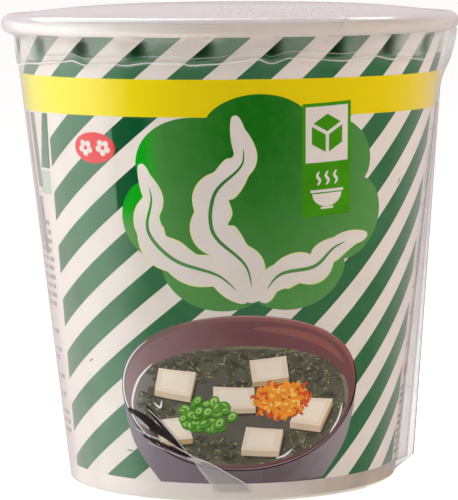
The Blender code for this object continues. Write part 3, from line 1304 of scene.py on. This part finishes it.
def turned(name, profile, material, closed=False):
    guide = bpy.data.meshes.new(name)
    points = [(radius * MM, 0.0, height * MM) for radius, height in profile]
    edges = [(i, i + 1) for i in range(len(points) - 1)]
    if closed:
        edges.append((len(points) - 1, 0))
    guide.from_pydata(points, edges, [])
    guide.materials.append(material)
    piece = add_object(name, guide)
    screw = piece.modifiers.new("Turn", "SCREW")
    screw.steps = TURN_STEPS
    screw.render_steps = TURN_STEPS
    screw.use_merge_vertices = True
    screw.merge_threshold = MERGE_DISTANCE * MM
    mesh = apply_modifiers(piece)
    shape = bmesh.new()
    shape.from_mesh(mesh)
    bmesh.ops.recalc_face_normals(shape, faces=shape.faces)
    shape.to_mesh(mesh)
    shape.free()
    mesh.shade_smooth()
    mesh.set_sharp_from_angle(angle=SHARP_ANGLE)
    return piece


print("one turned face is", 360 // TURN_STEPS, "degrees wide")

# %% The bead
LID_BOARD = 0.28
LID_SHOULDER = BEAD_RADIUS + LID_BOARD
LID_WRAP = 62

under_lid = arc(BEAD_CENTRE, BEAD_RADIUS, 0, LID_WRAP - 1, 6)
below_lid = arc(BEAD_CENTRE, LID_SHOULDER - 0.03, LID_WRAP + 1, 300, 24)
bead = turned("rolled_bead", under_lid + below_lid, inks["bead_board"], closed=True)
place_piece(bead, "printed_paper", "cup_body")
print(f"bead: {len(bead.data.polygons)} faces")

# %% The foot
FOOT_BOTTOM = 0.1
FOOT_WIDTH = 1.7
OUTER_FOLD = 0.45
INNER_FOLD = 0.35
BASE_HEIGHT = 6.8
SKIRT_TOP = BASE_HEIGHT + 0.8

base_widening = TAPER * BASE_HEIGHT
foot_outer = wall_radius(WALL_BOTTOM)
foot_inner = foot_outer - FOOT_WIDTH
foot_profile = (
    [(wall_radius(2.0) - PAPER, 2.0), (foot_outer, WALL_BOTTOM)]
    + arc((foot_outer - OUTER_FOLD, FOOT_BOTTOM + OUTER_FOLD), OUTER_FOLD, 90, 180, 6)
    + arc((foot_inner + INNER_FOLD, FOOT_BOTTOM + INNER_FOLD), INNER_FOLD, 180, 270, 5)
    + [(foot_inner + 0.5 * base_widening, 0.6 * BASE_HEIGHT)]
    + [(foot_inner + base_widening, SKIRT_TOP), (foot_outer + base_widening - PAPER, SKIRT_TOP)]
)
foot = turned("foot_ring", foot_profile, raw_board, closed=True)
place_piece(foot, "printed_paper", "cup_body")
print(f"foot ring {2 * foot_outer:.1f} mm across")

# %% The base
BASE_BOARD = 0.4

base_edge = foot_inner + base_widening
base_steps = [
    # radius and rise: a raised middle, a pressed groove, a flat rim and a turned-down skirt
    (0.0, 0.5), (20.0, 0.45), (24.0, 0.3), (25.0, -0.1), (26.0, 0.1),
    (base_edge - 1.5, 0.1), (base_edge - 0.3, -0.3), (base_edge - 0.02, -2.2),
]
base_profile = [(radius, BASE_HEIGHT + rise) for radius, rise in base_steps]
upper_side = [(radius, height + BASE_BOARD) for radius, height in reversed(base_profile[:-1])]
base = turned("base_disc", base_profile + upper_side, raw_board)
place_piece(base, "printed_paper", "cup_body")
print(f"base {BASE_HEIGHT:.1f} mm up")

# %% [markdown]
# ## The lid
#
# The lid is paper backed with foil and sealing film. It is pressed on the bead while hot,
# so its edge follows the bead's shoulder, and the air sealed in lifts its middle slightly.
# A fine dotted emboss keeps such a laminate from curling. It is made in the finish, by a
# bump from a grid of cells, because each dot is less than a tenth of a millimetre high.

# %% Lid finish
DOT_SCALE = 1150.0
DOTS_MIDDLE = 9.5


def dots_of(tree, stretch, randomness):
    """The distance to the nearest of many small cells, which are stretched three ways."""
    inputs = {0: place_of(tree), 1: stretch}
    place = add_node(tree, "VectorMath", inputs, operation="MULTIPLY").outputs["Vector"]
    inputs = {"Vector": place, "Scale": DOT_SCALE, "Randomness": randomness}
    return add_node(tree, "TexVoronoi", inputs).outputs["Distance"]


def dotted_zone(tree, outer, inner):
    """1 in the dotted part of the lid, fading between two distances from its middle."""
    x = add_node(tree, "SeparateXYZ", {"Vector": place_of(tree)}).outputs["X"]
    away = maths(tree, "ABSOLUTE", maths(tree, "SUBTRACT", x, DOTS_MIDDLE * MM))
    return step(tree, away, outer * MM, inner * MM)


def lid_finish():
    material, tree = new_finish("lid_laminate")
    dots = maths(tree, "MULTIPLY", dots_of(tree, (1.0, 0.22, 1.0), 0.7), dotted_zone(tree, 16.0, 13.5))
    set_shader(tree, {
        "Base Color": two_tone(tree, noise_of(tree, 60.0, 3.0), (211, 199, 201), (221, 210, 211)),
        "Normal": bump_of(tree, dots, 0.12),
        "Roughness": 0.36,
    })
    return material


print(f"dots about {1 / DOT_SCALE / MM:.1f} mm apart")

# %% The lid
LID_EDGE_HEIGHT = BEAD_CENTRE[1] + LID_SHOULDER
LID_FLAT = 43.6
LID_FULLNESS = 3.2
LID_RISE = LID_TOP - LID_EDGE_HEIGHT - 0.05


def lid_height(radius):
    """The height of the lid's upper side, from its flat sealed edge to its middle."""
    share = min(1.0, radius / LID_FLAT)
    return LID_EDGE_HEIGHT + LID_RISE * (1 - share ** LID_FULLNESS)


lid_radii = [LID_FLAT * i / 20 for i in range(21)]
lid_upper = [(radius, lid_height(radius)) for radius in lid_radii]
lid_upper += arc(BEAD_CENTRE, LID_SHOULDER, 0, LID_WRAP, 9)
lid_lower = [(radius, lid_height(radius) - LID_BOARD) for radius in lid_radii]
lid_lower += arc(BEAD_CENTRE, BEAD_RADIUS + 0.02, 0, LID_WRAP, 9)
lid = turned("lid_sheet", lid_upper + lid_lower[::-1], lid_finish())
place_piece(lid, "lid_laminate", "lid")
print(f"lid {2 * lid_upper[-1][0]:.1f} mm across, {lid_height(0):.1f} mm up in the middle")

# %% [markdown]
# ## The shrink film
#
# A tube of clear film is dropped over the cup and shrunk by hot air. It lies tight on the
# lid and the wall. Under the bead it bridges the corner in a hollow that is drawn in here
# and there, and gathers in a wavy ridge where it meets the wall. At the seam on the right
# it stays off the wall as a straight fin, with a corner at the foot. A cloth simulation
# could shrink a tube, but it wouldn't stop in these places. So the film is a grid of
# points, and one function says where each point of a column lies.

# %% The ridge and the drawn-in places
FIN_TURN = 90.0
RIDGE_HEIGHT = 88.55
RIDGE = [
    (-84.0, 87.0), (-79.8, 86.9), (-64.0, 87.6), (-48.8, 88.25), (-44.7, 88.6), (-40.1, 87.8),
    (-31.0, 88.1), (-27.4, 87.9), (-21.0, 88.45), (-12.7, 88.4), (-9.9, 88.0), (-4.3, 88.2),
    (1.0, 88.7), (6.5, 89.2), (10.3, 88.25), (15.0, 89.25), (22.0, 88.9), (29.4, 88.5),
    (39.2, 89.2), (46.3, 88.4), (53.6, 88.36), (61.2, 87.9), (68.0, 87.8),
]
RIDGE_ENDS_OVER = 4.0


def turn_from_front(turn):
    return (turn + 180) % 360 - 180


def from_fin(turn):
    """How many degrees round from the fin this turn is."""
    away = abs(turn - FIN_TURN) % 360
    return min(away, 360 - away)


def tight_side(turn):
    """1 on the side away from the fin, where the film is pulled in under the bead."""
    return eased((from_fin(turn) - 128.0) / 30.0)


def drawn_in(turn):
    """1 where the film is drawn in under the bead, 0 between those places."""
    phase = math.radians((turn - DRAWN_IN_SHIFT) * DRAWN_IN_PLACES)
    return (0.5 + 0.5 * math.cos(phase + 0.7 * math.sin(phase))) ** 1.5


def ridge_height(turn):
    """In front the ridge dips below each place that is drawn in. Behind it only waves."""
    turn = turn_from_front(turn)
    wave = 0.34 * math.sin(math.radians(11 * turn + 20)) * math.cos(math.radians(4 * turn))
    behind = RIDGE_HEIGHT + wave - 0.3 * abs(math.sin(math.radians(10.5 * turn + 40)))
    if not RIDGE[0][0] < turn < RIDGE[-1][0]:
        return behind
    after = next(i for i, knot in enumerate(RIDGE) if knot[0] > turn)
    left, right = RIDGE[after - 1], RIDGE[after]
    height = mix(left[1], right[1], eased((turn - left[0]) / (right[0] - left[0])))
    edge = min(turn - RIDGE[0][0], RIDGE[-1][0] - turn)
    return mix(behind, height, eased(edge / RIDGE_ENDS_OVER))


print(f"the ridge is {ridge_height(0.0):.1f} mm up in front")

# %% The sleeve and the fin
FILM = 0.04
FILM_GAP = 0.07
FIN_TOP = (43.85, 79.0)
FIN_CORNER = (38.4, 3.3)
FIN_FOOT_TURN = 38.0
FOOT_FILM = 0.045
TENT_RADIUS = BEAD_CENTRE[0] + BEAD_RADIUS + 0.1


def fin_tip(height):
    share = (height - FIN_CORNER[1]) / (FIN_TOP[1] - FIN_CORNER[1])
    return mix(FIN_CORNER[0], FIN_TOP[0], share)


def sleeve_radius(turn, height):
    """The film on the wall, or on its straight run from the fin to the wall."""
    away = math.radians(from_fin(turn))
    on_wall = wall_radius(height) + FILM_GAP
    tip = max(fin_tip(height), on_wall)
    reach = math.acos(on_wall / tip)
    return on_wall / math.cos(max(0.0, reach - away))


def tent_share(turn, height):
    """How much of the way to the tent the film goes at this turn and height."""
    rise = (height - FIN_TOP[1]) / (BEAD_CENTRE[1] - FIN_TOP[1])
    return eased(1 - from_fin(turn) / mix(9.0, 34.0, max(0.0, rise)))


def tent_radius(height):
    """The film hanging from the bead to the fin's top."""
    share = (BEAD_CENTRE[1] - height) / (BEAD_CENTRE[1] - FIN_TOP[1])
    return mix(TENT_RADIUS, FIN_TOP[0], eased(share) ** 1.3)


def fin_crease(turn):
    """Where the film turns under: on the foot, or on the straight edge up to the fin."""
    away = math.radians(from_fin(turn))
    reach = math.radians(FIN_FOOT_TURN)
    foot_edge = wall_radius(0.0) + FILM_GAP
    if away >= reach:
        return foot_edge, FOOT_FILM
    slope = foot_edge * math.cos(reach) - FIN_CORNER[0]
    share = FIN_CORNER[0] * math.tan(away) / (foot_edge * math.sin(reach) - slope * math.tan(away))
    sideways = foot_edge * math.sin(reach) * share
    return math.hypot(FIN_CORNER[0] + slope * share, sideways), mix(FIN_CORNER[1], FOOT_FILM, share)


print(f"the fin stands {fin_tip(40.0) - wall_radius(40.0):.1f} mm off the wall at 40 mm")

# %% Under the bead
STEEP_BETWEEN = 3.2
STEEP_DRAWN_IN = 9.0
STEEP_TIGHT = 16.0
HOLLOW_DEPTH = 0.32
RIDGE_FOLD = (0.34, 0.24)
SECOND_FOLD = (0.16, 0.2)
SECOND_FOLD_RISE = 1.5


def under_bead(turn, height, leave):
    """The film's radius under the bead, drawn in to the wall or tented."""
    ridge = ridge_height(turn)
    share = max(0.0, (height - ridge) / (leave[1] - ridge))
    steep = mix(STEEP_BETWEEN, STEEP_DRAWN_IN, drawn_in(turn))
    steep = mix(steep, STEEP_TIGHT, tight_side(turn))
    bridge = (leave[0] - wall_radius(leave[1]) - FILM_GAP) * share ** steep
    hollow = HOLLOW_DEPTH * math.sin(math.pi * min(1.0, share)) * (1 - drawn_in(turn))
    rise = height - ridge
    fold = RIDGE_FOLD[0] * math.exp(-(rise / RIDGE_FOLD[1]) ** 2)
    second = SECOND_FOLD[0] * math.exp(-((rise - SECOND_FOLD_RISE) / SECOND_FOLD[1]) ** 2)
    drawn = wall_radius(height) + FILM_GAP + bridge + hollow + fold + second
    return mix(drawn, max(drawn, tent_radius(height)), tent_share(turn, height))


print(f"the ridge stands {RIDGE_FOLD[0]:.2f} mm proud, the second fold {SECOND_FOLD[0]:.2f} mm")

# %% A column of film
BEAD_LEAVE_ANGLE = 142.0
TIGHT_LEAVE_ANGLE = 172.0
RIDGE_REACH = 0.7
FRONT_HAZE = 0.08
SIDE_HAZE = 0.24
ROWS_BELOW_BEAD = 26
ROWS_ON_RIDGE = 14
ROWS_TO_FIN_TOP = 8
ROWS_ON_SLEEVE = 20
ROWS_TURNING_UNDER = 4
HEM_RADII = [33.6, 33.0, 32.4, 31.6, 30.6, 29.4, 28.2, 27.0]
HEM_LIFTS_FROM = 32.4
FOOT_PLEATS = 46


def shares(count):
    """The ends of equal parts of the way from 0 to 1."""
    return [i / count for i in range(1, count + 1)]


def hollow_haze(turn):
    """How milky the film is under the bead: more at the sides, none where it is drawn in."""
    side = eased((abs(turn_from_front(turn) + 4) - 34) / 30)
    return mix(FRONT_HAZE, SIDE_HAZE, side) * (1 - drawn_in(turn)) ** 1.5 + mix(0.0, 0.03, side)


def film_column(turn):
    """The film in one upright plane: (radius, height, haze) from the lid to the hole."""
    column = [(radius, lid_height(radius) + FILM_GAP, 0.02) for radius in lid_radii]
    bend = LID_SHOULDER + FILM_GAP
    leave_angle = mix(BEAD_LEAVE_ANGLE, TIGHT_LEAVE_ANGLE, tight_side(turn))
    column += [(*point, 0.02) for point in arc(BEAD_CENTRE, bend, 0, LID_WRAP, 8)]
    column += [(*point, 0.05) for point in arc(BEAD_CENTRE, bend, LID_WRAP + 8, leave_angle, 9)]
    leave = column[-1][:2]
    ridge = ridge_height(turn)
    for share in shares(ROWS_BELOW_BEAD):
        height = mix(leave[1], ridge + RIDGE_REACH, share)
        column.append((under_bead(turn, height, leave), height, hollow_haze(turn)))
    for share in shares(ROWS_ON_RIDGE):
        height = ridge + RIDGE_REACH - 2 * RIDGE_REACH * share
        column.append((under_bead(turn, height, leave), height, 0.06 if share < 0.55 else 0.02))
    for share in shares(ROWS_TO_FIN_TOP):
        height = mix(ridge - RIDGE_REACH, FIN_TOP[1], share)
        drawn = mix(under_bead(turn, height, leave), sleeve_radius(turn, height), eased(share))
        column.append((drawn, height, 0.0))
    for share in shares(ROWS_ON_SLEEVE):
        height = mix(FIN_TOP[1], FIN_CORNER[1], share)
        column.append((sleeve_radius(turn, height), height, 0.0))
    lowest = column[-1][:2]
    for share in shares(ROWS_TURNING_UNDER):
        column.append((*mix_points(lowest, fin_crease(turn), share), 0.0))
    pleat = math.sin(math.radians(FOOT_PLEATS * turn + 60 * math.sin(math.radians(5 * turn))))
    for radius in HEM_RADII:
        lift = eased((HEM_LIFTS_FROM - radius) / 3.0) * (0.7 + 0.5 * pleat)
        column.append((radius, FOOT_FILM + lift, 0.05))
    return column


print(len(film_column(0.0)), "points in each column of film")

# %% [markdown]
# ## A clear film without glass
#
# Glass bends what is behind it, and a film this thin doesn't. So the finish mixes a
# Transparent shader with a Glossy one. The share of gloss follows the angle at which a ray
# meets the film, by Schlick's rule: a few parts in a hundred head on, nearly all at a
# grazing angle. Where the film stands off the ink it also looks a little milky, which a
# small share of Diffuse gives, read from the haze that each point carries.

# %% Film finish
FACE_ON_GLOSS = 0.02
LOST_GLOSS = 0.85
DOTS_MILK = 0.7
RIPPLE_SCALE = 75.0
RIPPLE_DEPTH = 0.25


def gathered_dots(tree):
    """Rows of tiny puckers in the film, in one patch of the lid, shown as painted glints of milk."""
    spots = step(tree, dots_of(tree, (1.0, 0.4, 0.0), 0.6), 0.45, 0.15)
    _, height = turn_and_height(tree)
    return product(tree, spots, dotted_zone(tree, 15.5, 12.0), step(tree, height, 97.6, 98.2))


def gloss_share(tree):
    """Little gloss head on, much at a grazing angle, and hardly any on wet-looking ink."""
    facing = add_node(tree, "LayerWeight", {"Blend": 0.5}).outputs["Facing"]
    grazing = maths(tree, "MULTIPLY", maths(tree, "POWER", facing, 5.0), 1 - FACE_ON_GLOSS)
    touching = maths(tree, "MULTIPLY", where_film_touches(tree), -LOST_GLOSS)
    kept = maths(tree, "ADD", touching, 1.0)
    return maths(tree, "MULTIPLY", maths(tree, "ADD", grazing, FACE_ON_GLOSS), kept)


def milk_share(tree, milk):
    """The milk of this film, on top of the haze that the points carry, in a soft cloud."""
    haze = add_node(tree, "Attribute", {}, attribute_name="haze").outputs["Fac"]
    amount = maths(tree, "ADD", haze, milk)
    amount = maths(tree, "ADD", amount, maths(tree, "MULTIPLY", gathered_dots(tree), DOTS_MILK))
    cloud = maths(tree, "ADD", noise_of(tree, 180.0, 3.0), 0.25)
    return maths(tree, "MULTIPLY", amount, maths(tree, "MULTIPLY", cloud, 1.3))


def film_finish(name, clear, roughness, milk, milk_colour=(236, 230, 228)):
    material, tree = new_finish(name)
    tree.nodes.remove(tree.nodes["Principled BSDF"])
    see_through = add_node(tree, "BsdfTransparent", {"Color": (clear, clear, clear, 1.0)})
    gloss = add_node(tree, "BsdfAnisotropic", {
        "Color": (1.0, 1.0, 1.0, 1.0),
        "Roughness": roughness,
        "Normal": bump_of(tree, noise_of(tree, RIPPLE_SCALE, 2.0), RIPPLE_DEPTH, 0.25),
    })
    diffuse = add_node(tree, "BsdfDiffuse", {"Color": linear(*milk_colour)})
    inputs = {"Fac": gloss_share(tree), 1: see_through.outputs["BSDF"], 2: gloss.outputs["BSDF"]}
    thin = add_node(tree, "MixShader", inputs)
    inputs = {"Fac": milk_share(tree, milk), 1: thin.outputs["Shader"], 2: diffuse.outputs["BSDF"]}
    milky = add_node(tree, "MixShader", inputs)
    plug(tree, tree.nodes["Material Output"].inputs["Surface"], milky.outputs["Shader"])
    return material


clear_film = film_finish("clear_film", 0.985, 0.12, 0.0)
print("face-on gloss of one side:", FACE_ON_GLOSS)

# %% [markdown]
# ## Making the film
#
# The grid has one column for every degree or so. The finish could work the haze out again,
# but an attribute of the points carries it there from the function that shaped the film.
# Solidify then closes the grid to a thin skin with two sides.

# %% The film
FILM_COLUMNS = 300
FILM_SHARP_ANGLE = math.radians(50)


def film_grid(shape):
    """Adds the film's points to a mesh, column by column. All columns start at one point."""
    haze = shape.verts.layers.float.new("haze")
    top = shape.verts.new(round_the_cup(0.0, 0.0, film_column(FIN_TURN)[0][1]))
    grid = []
    for number in range(FILM_COLUMNS):
        turn = FIN_TURN + 360 * number / FILM_COLUMNS
        line = [top]
        for radius, height, milk in film_column(turn)[1:]:
            vertex = shape.verts.new(round_the_cup(turn, radius, height))
            vertex[haze] = milk
            line.append(vertex)
        grid.append(line)
    return grid


def make_film():
    shape = bmesh.new()
    grid = film_grid(shape)
    for line, following in zip(grid, grid[1:] + grid[:1]):
        for row in range(len(line) - 1):
            corners = [line[row], line[row + 1], following[row + 1], following[row]]
            shape.faces.new(corners if row else corners[:3])
    bmesh.ops.recalc_face_normals(shape, faces=shape.faces)
    mesh = bpy.data.meshes.new("film_skin")
    shape.to_mesh(mesh)
    shape.free()
    mesh.materials.append(clear_film)
    skin = add_object("film_skin", mesh)
    shaped = thicken(skin, FILM, 1.0)
    shaped.shade_smooth()
    shaped.set_sharp_from_angle(angle=FILM_SHARP_ANGLE)
    return skin


film = place_piece(make_film(), "shrink_film", "film_wrap")
print(f"film: {len(film.data.polygons)} faces")

# %% [markdown]
# ## Pleats
#
# Low on the front, the tube was wider than the cup, so it shrank into a pleat: a fold of
# two or three layers that lies flat and shows as dark slivers, a milky flap and thin bright
# edges. A fold could be a crease in the film's own grid. Here each layer is a narrow ribbon
# between two lines drawn on the film, about a tenth of a millimetre proud, because only
# separate layers catch the light one after another as the real ones do. The slivers are
# dark by painted shade, a dark milk in their finish, and the edges are bright by a painted
# highlight, a pale milk in theirs.

# %% Ribbons on the film
PLEAT_THICKNESS = 0.03
POINTS_ALONG = 28
FACES_ACROSS = 4


def add_strip(name, rows, material):
    """A thin piece of film from rows of points, each row as long as the others."""
    wide = len(rows[0])
    faces = []
    for i in range(len(rows) - 1):
        for j in range(wide - 1):
            corner = i * wide + j
            faces.append((corner, corner + wide, corner + wide + 1, corner + 1))
    mesh = bpy.data.meshes.new(name)
    mesh.from_pydata([point for row in rows for point in row], [], faces)
    mesh.materials.append(material)
    strip = add_object(name, mesh)
    thicken(strip, PLEAT_THICKNESS, 0.0).shade_smooth()
    return place_piece(strip, "shrink_film")


def even_points(knots, count):
    """Points at even shares of the way along a smooth line."""
    line = smooth_line(knots, 12)
    lengths = [0.0]
    for a, b in zip(line, line[1:]):
        lengths.append(lengths[-1] + math.dist(a, b))
    points = []
    at = 0
    for i in range(count):
        target = lengths[-1] * i / (count - 1)
        while at < len(line) - 2 and lengths[at + 1] < target:
            at += 1
        share = (target - lengths[at]) / (lengths[at + 1] - lengths[at])
        points.append(mix_points(line[at], line[at + 1], share))
    return points


def add_ribbon(
    name, upper, lower, lift, material, crown=0.0, length=POINTS_ALONG, width=FACES_ACROSS
):
    """A thin film between two lines of (turn, height), raised by its crown in the middle."""
    rows = []
    for a, b in zip(even_points(upper, length), even_points(lower, length)):
        row = []
        for j in range(width + 1):
            turn, height = mix_points(a, b, j / width)
            rise = lift + crown * math.sin(math.pi * j / width)
            row.append(round_the_cup(turn, sleeve_radius(turn, height) + FILM + rise, height))
        rows.append(row)
    return add_strip(name, rows, material)


print("a ribbon has", (POINTS_ALONG - 1) * FACES_ACROSS, "faces on each side")

# %% The pleat's layers
# Painted shade: a dark milk in the film darkens the slivers of the pleat.
pleat_painted_shade = film_finish("pleat_painted_shade", 0.9, 0.1, 0.62, (44, 36, 38))
pleat_milk = film_finish("pleat_milk", 0.95, 0.12, 0.26, (226, 216, 214))
PLEAT_LAYERS = [
    # name, upper line, lower line, lift, finish
    ("pleat_shade_upper",
     [(-35.2, 18.6), (-31.0, 17.9), (-26.0, 16.2), (-21.4, 13.9), (-17.0, 11.4), (-13.6, 9.6)],
     [(-35.6, 18.1), (-32.4, 16.4), (-28.4, 14.4), (-23.2, 13.0), (-18.2, 11.2), (-14.0, 9.5)],
     0.05, pleat_painted_shade),
    ("pleat_shade_side",
     [(-28.0, 19.4), (-24.4, 17.2), (-20.8, 14.4), (-16.8, 11.7)],
     [(-28.4, 19.0), (-26.0, 16.8), (-22.4, 14.4), (-17.6, 11.7)],
     0.06, pleat_painted_shade),
    ("pleat_shade_lower",
     [(-30.6, 13.2), (-24.0, 11.9), (-18.0, 10.4), (-13.4, 9.2)],
     [(-29.8, 12.7), (-23.6, 11.2), (-18.2, 9.7), (-13.6, 8.9)],
     0.05, pleat_painted_shade),
    ("pleat_sliver",
     [(-33.6, 17.5), (-30.6, 16.3), (-27.6, 14.8)],
     [(-33.8, 17.2), (-31.2, 15.6), (-27.8, 14.4)],
     0.11, pleat_milk),
    ("pleat_flap",
     [(-13.0, 9.6), (-8.0, 8.1), (-2.0, 5.9), (3.4, 3.9), (5.8, 2.0)],
     [(-13.4, 9.0), (-11.8, 7.2), (-9.8, 5.4), (-7.8, 3.9), (-6.2, 2.0)],
     0.06, pleat_milk),
]

for layer in PLEAT_LAYERS:
    add_ribbon(*layer)
print(len(PLEAT_LAYERS), "layers in the pleat")

# %% The pleat's bright edges
# Painted highlight: a pale milk in the film makes the folded edges bright.
pleat_painted_highlight = film_finish("pleat_painted_highlight", 0.95, 0.12, 0.62, (238, 232, 228))
FOLDED_EDGES = [
    # name, line, width
    ("pleat_edge_top",
     [(-27.6, 18.6), (-24.0, 16.6), (-19.6, 13.6), (-16.0, 10.9), (-13.2, 9.1), (-8.0, 8.1),
      (-1.0, 5.6), (4.0, 3.7), (6.4, 2.4)], 0.22),
    ("pleat_edge_middle",
     [(-33.0, 14.4), (-28.0, 13.2), (-22.6, 12.2), (-17.6, 10.8), (-13.4, 9.5)], 0.2),
    ("pleat_edge_low",
     [(-28.4, 11.7), (-23.0, 10.5), (-18.0, 9.4), (-13.6, 8.5), (-10.6, 8.0)], 0.16),
]

for name, knots, width in FOLDED_EDGES:
    upper = [(turn, height + 0.5 * width) for turn, height in knots]
    lower = [(turn, height - 0.5 * width) for turn, height in knots]
    add_ribbon(name, upper, lower, 0.12, pleat_painted_highlight, 0.05, 40, 2)
print(len(FOLDED_EDGES), "bright edges, each arched across")

# %% [markdown]
# ## Lines on the ridge, the fin and the bead
#
# The gathered film under the bead catches the light along its ridge, and fainter along a
# second fold above it. The film's own mesh is too coarse for lines this thin. So they are
# strips too, laid along the same functions that shaped the film, and their brightness is
# a painted highlight: a pale milk in their finish. A faint milky band runs up beside the
# fin, greyish enough to paint a little shade there, and one sharp crease crosses the bead,
# bright by the same painted highlight.

# %% Lines along the ridge
# A fainter painted highlight of pale milk, for the second fold.
faint_painted_highlight = film_finish("faint_painted_highlight", 0.97, 0.12, 0.24, (232, 224, 220))
RIDGE_LINES = [
    # name, start, end, rise above the ridge, width, lift, points, finish
    ("ridge_line_left", -83.0, -33.0, 0.0, 0.42, 0.04, 90, pleat_painted_highlight),
    ("ridge_line_middle", -34.0, 20.0, 0.0, 0.24, 0.04, 100, pleat_painted_highlight),
    ("ridge_line_right", 19.0, 66.0, 0.0, 0.22, 0.04, 80, pleat_painted_highlight),
    ("ridge_line_upper_left", -58.0, -30.0, 1.35, 0.2, 0.03, 60, faint_painted_highlight),
    ("ridge_line_upper_middle", -24.0, 2.0, 1.3, 0.14, 0.03, 60, faint_painted_highlight),
    ("ridge_line_upper_right", 8.0, 42.0, 1.4, 0.16, 0.03, 70, faint_painted_highlight),
]


def add_ridge_line(name, start, end, rise, width, lift, count, material):
    """A crease that follows the ridge, at a rise above it, bright by a painted highlight."""
    leave = arc(BEAD_CENTRE, LID_SHOULDER + FILM_GAP, 0, BEAD_LEAVE_ANGLE, 2)[-1]
    rows = []
    for number in range(count):
        share = number / (count - 1)
        turn = mix(start, end, share)
        taper = abs(math.sin(math.pi * share)) ** 0.4
        row = []
        for j, crown in ((-0.5, 0.0), (0.0, 0.04), (0.5, 0.0)):
            height = ridge_height(turn) + rise + j * width * taper
            radius = under_bead(turn, height, leave) + FILM + lift + crown
            row.append(round_the_cup(turn, radius, height))
        rows.append(row)
    return add_strip(name, rows, material)


for line in RIDGE_LINES:
    add_ridge_line(*line)
print(len(RIDGE_LINES), "lines on the ridge")

# %% The band beside the fin
SHADE_LEFT = [(80.0, 78.5), (78.5, 64.0), (77.0, 46.0), (75.5, 28.0), (74.5, 12.0), (74.0, 3.5)]
SHADE_RIGHT = [(86.0, 78.5), (86.2, 64.0), (86.0, 46.0), (85.6, 28.0), (85.0, 12.0), (84.6, 3.5)]

# Partly painted shade: a greyish milk greys the film beside the fin.
shade = film_finish("fin_shade", 0.98, 0.12, 0.14, (206, 196, 190))
add_ribbon("fin_shade", SHADE_LEFT, SHADE_RIGHT, 0.03, shade, length=60)
print(f"the band is {SHADE_LEFT[0][1] - SHADE_LEFT[-1][1]:.0f} mm high")


# %% The crease over the bead
def add_bead_crease(name, start, end, first, last, width, count=26):
    """A crease over the bead, bright by a painted highlight. It passes from one turn to another on its
    way down.
    """
    outside = LID_SHOULDER + FILM_GAP + FILM + 0.02
    rows = []
    for number in range(count):
        share = number / (count - 1)
        turn = mix(start, end, share)
        radius, height = arc(BEAD_CENTRE, outside, mix(first, last, share), 180, 2)[0]
        half = 0.5 * math.degrees(width / radius) * (0.3 + 0.7 * math.sin(math.pi * share))
        rows.append([
            round_the_cup(turn - half, radius, height),
            round_the_cup(turn + half, radius, height),
        ])
    return add_strip(name, rows, pleat_painted_highlight)


crease = add_bead_crease("bead_crease", 30.2, 26.6, -8.0, 112.0, 0.42)
print(f"crease: {len(crease.data.polygons)} faces")
